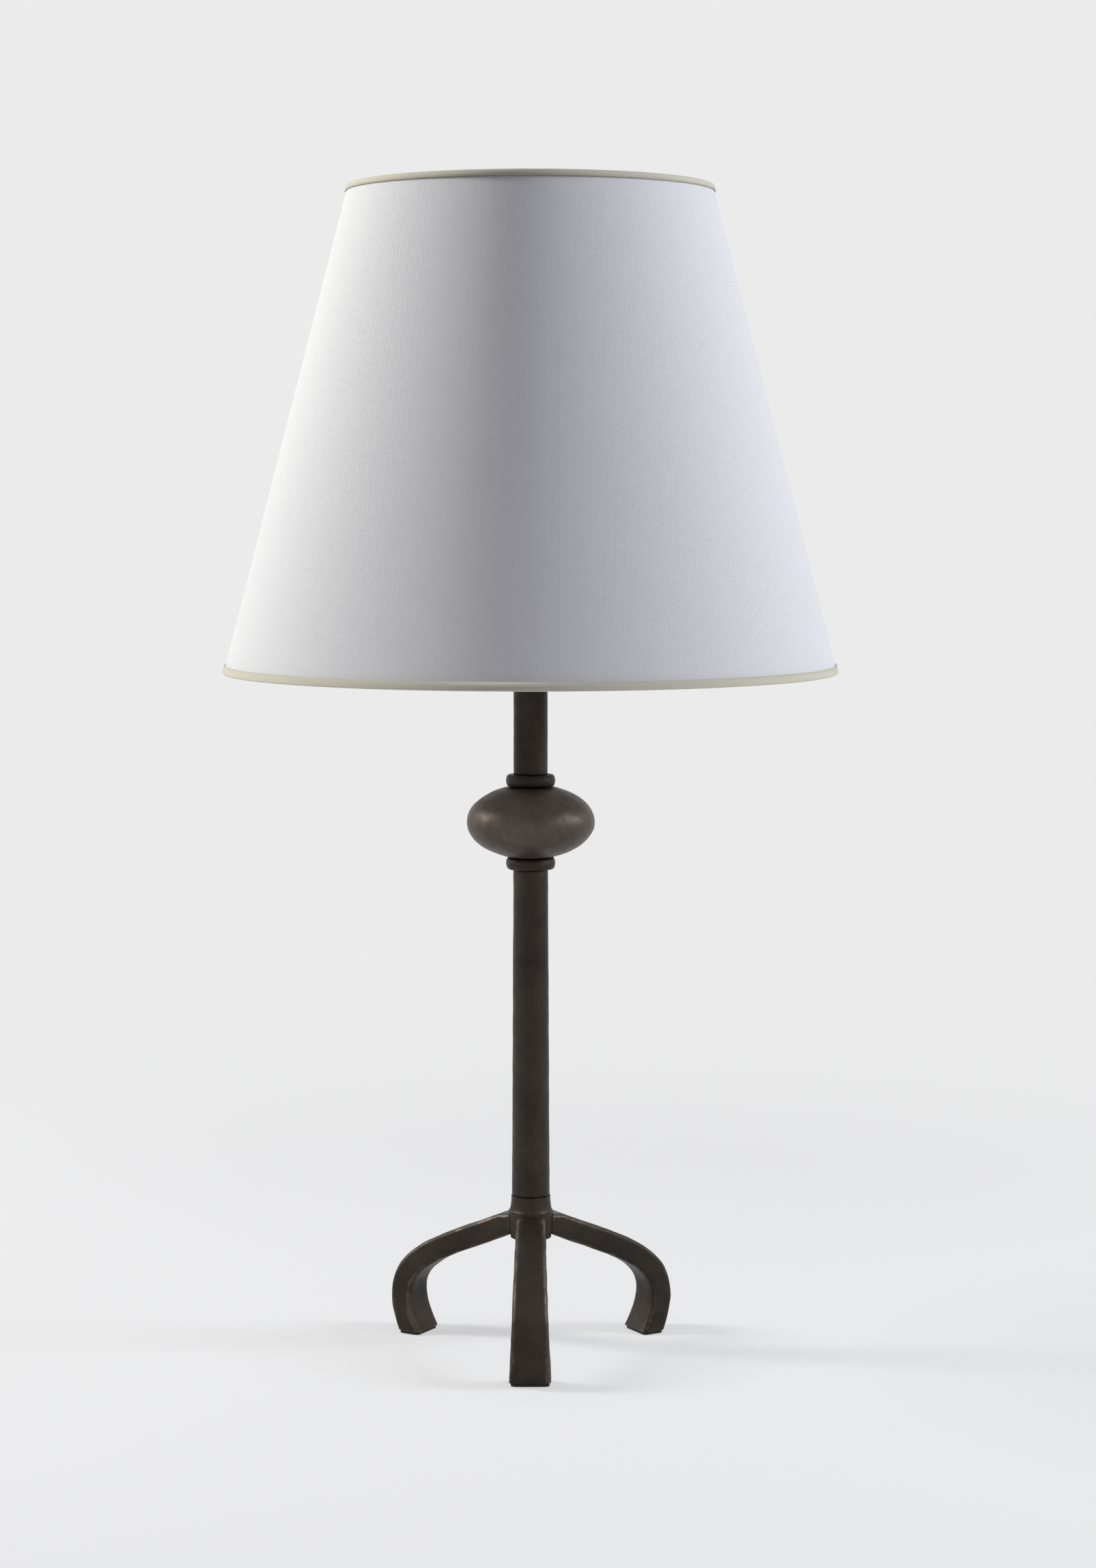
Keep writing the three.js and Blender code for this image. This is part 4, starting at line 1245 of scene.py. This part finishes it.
def makeFloor():
    # between the near and the far distance it fades to the plain backdrop, so that no horizon shows
    bm = bmesh.new()
    bmesh.ops.create_circle(bm, cap_ends=True, radius=floorLook["radius"], segments=96)
    mesh = bpy.data.meshes.new("paleFloor")
    bm.to_mesh(mesh)
    bm.free()
    floor = addObject("paleFloor", mesh)
    material, tree, shader = newMaterial("palePaper", Roughness=0.9, Specular_IOR_Level=0.1)
    white = {name: [value] * 3 for name, value in floorWhites.items()}
    away = addNode(tree, "VectorMath", {0: objectPlace(tree)}, operation="LENGTH").outputs["Value"]
    span = {"Value": away, "From Min": floorLook["near"], "From Max": floorLook["far"]}
    smooth = {"interpolation_type": "SMOOTHSTEP"}
    fade = addNode(tree, "MapRange", {**span, "To Min": floorLook["glowShare"]}, **smooth).outputs[0]
    tint = addNode(tree, "MapRange", span, **smooth).outputs[0]
    seen = seenDirectly(tree)
    thrown = blendColours(tree, tint, white["thrownNear"], white["thrownFar"])
    tree.links.new(blendColours(tree, seen, thrown, white["seen"]), shader.inputs["Base Color"])
    glowColour = blendColours(tree, tint, white["glow"], backdrop)
    glow = addNode(tree, "Emission", {"Color": glowColour, "Strength": 1.0})
    share = times(tree, fade, seen)
    both = addNode(tree, "MixShader", {0: share, 1: shader.outputs[0], 2: glow.outputs[0]})
    # from below the floor is clear, so that it doesn't hide the lamp
    below = addNode(tree, "NewGeometry").outputs["Backfacing"]
    clear = addNode(tree, "BsdfTransparent")
    oneSided = addNode(tree, "MixShader", {0: below, 1: both.outputs[0], 2: clear.outputs[0]})
    tree.links.new(oneSided.outputs[0], tree.nodes["Material Output"].inputs["Surface"])
    mesh.materials.append(material)


def makeWorld(ambient):
    world = bpy.data.worlds.new("studio")
    world.use_nodes = True
    bpy.context.scene.world = world
    tree = world.node_tree
    colour = blendColours(tree, seenDirectly(tree), ambient, backdrop)
    tree.links.new(colour, tree.nodes["Background"].inputs["Color"])


def addLamp(name, azimuth, distance, height, size, watts, colour, aim=0.42):
    # a soft box: azimuth 0 is at the camera's side, and positive to the right
    data = bpy.data.lights.new(name, "AREA")
    data.shape = "RECTANGLE"
    data.size, data.size_y = size
    data.energy = watts
    data.color = colour
    lamp = addObject(name, data)
    swing = radians(azimuth)
    lamp.location = (distance * sin(swing), -distance * cos(swing), height)
    lamp.rotation_euler = (Vector((0, 0, aim)) - lamp.location).to_track_quat("-Z", "Y").to_euler()
    lamp.visible_camera = False


lamps = {
    "keyBox": (-96, 1.3, 1.15, (0.26, 0.75), 23.2, (1.0, 1.0, 0.965)),
    "fillBox": (84, 1.3, 1.0, (0.35, 0.8), 17.0, (0.895, 0.937, 1.0)),
}
addCamera()
makeFloor()
makeWorld((0.370, 0.362, 0.411))
for name, setup in lamps.items():
    addLamp(name, *setup)
bpy.context.scene.view_settings.view_transform = "Standard"
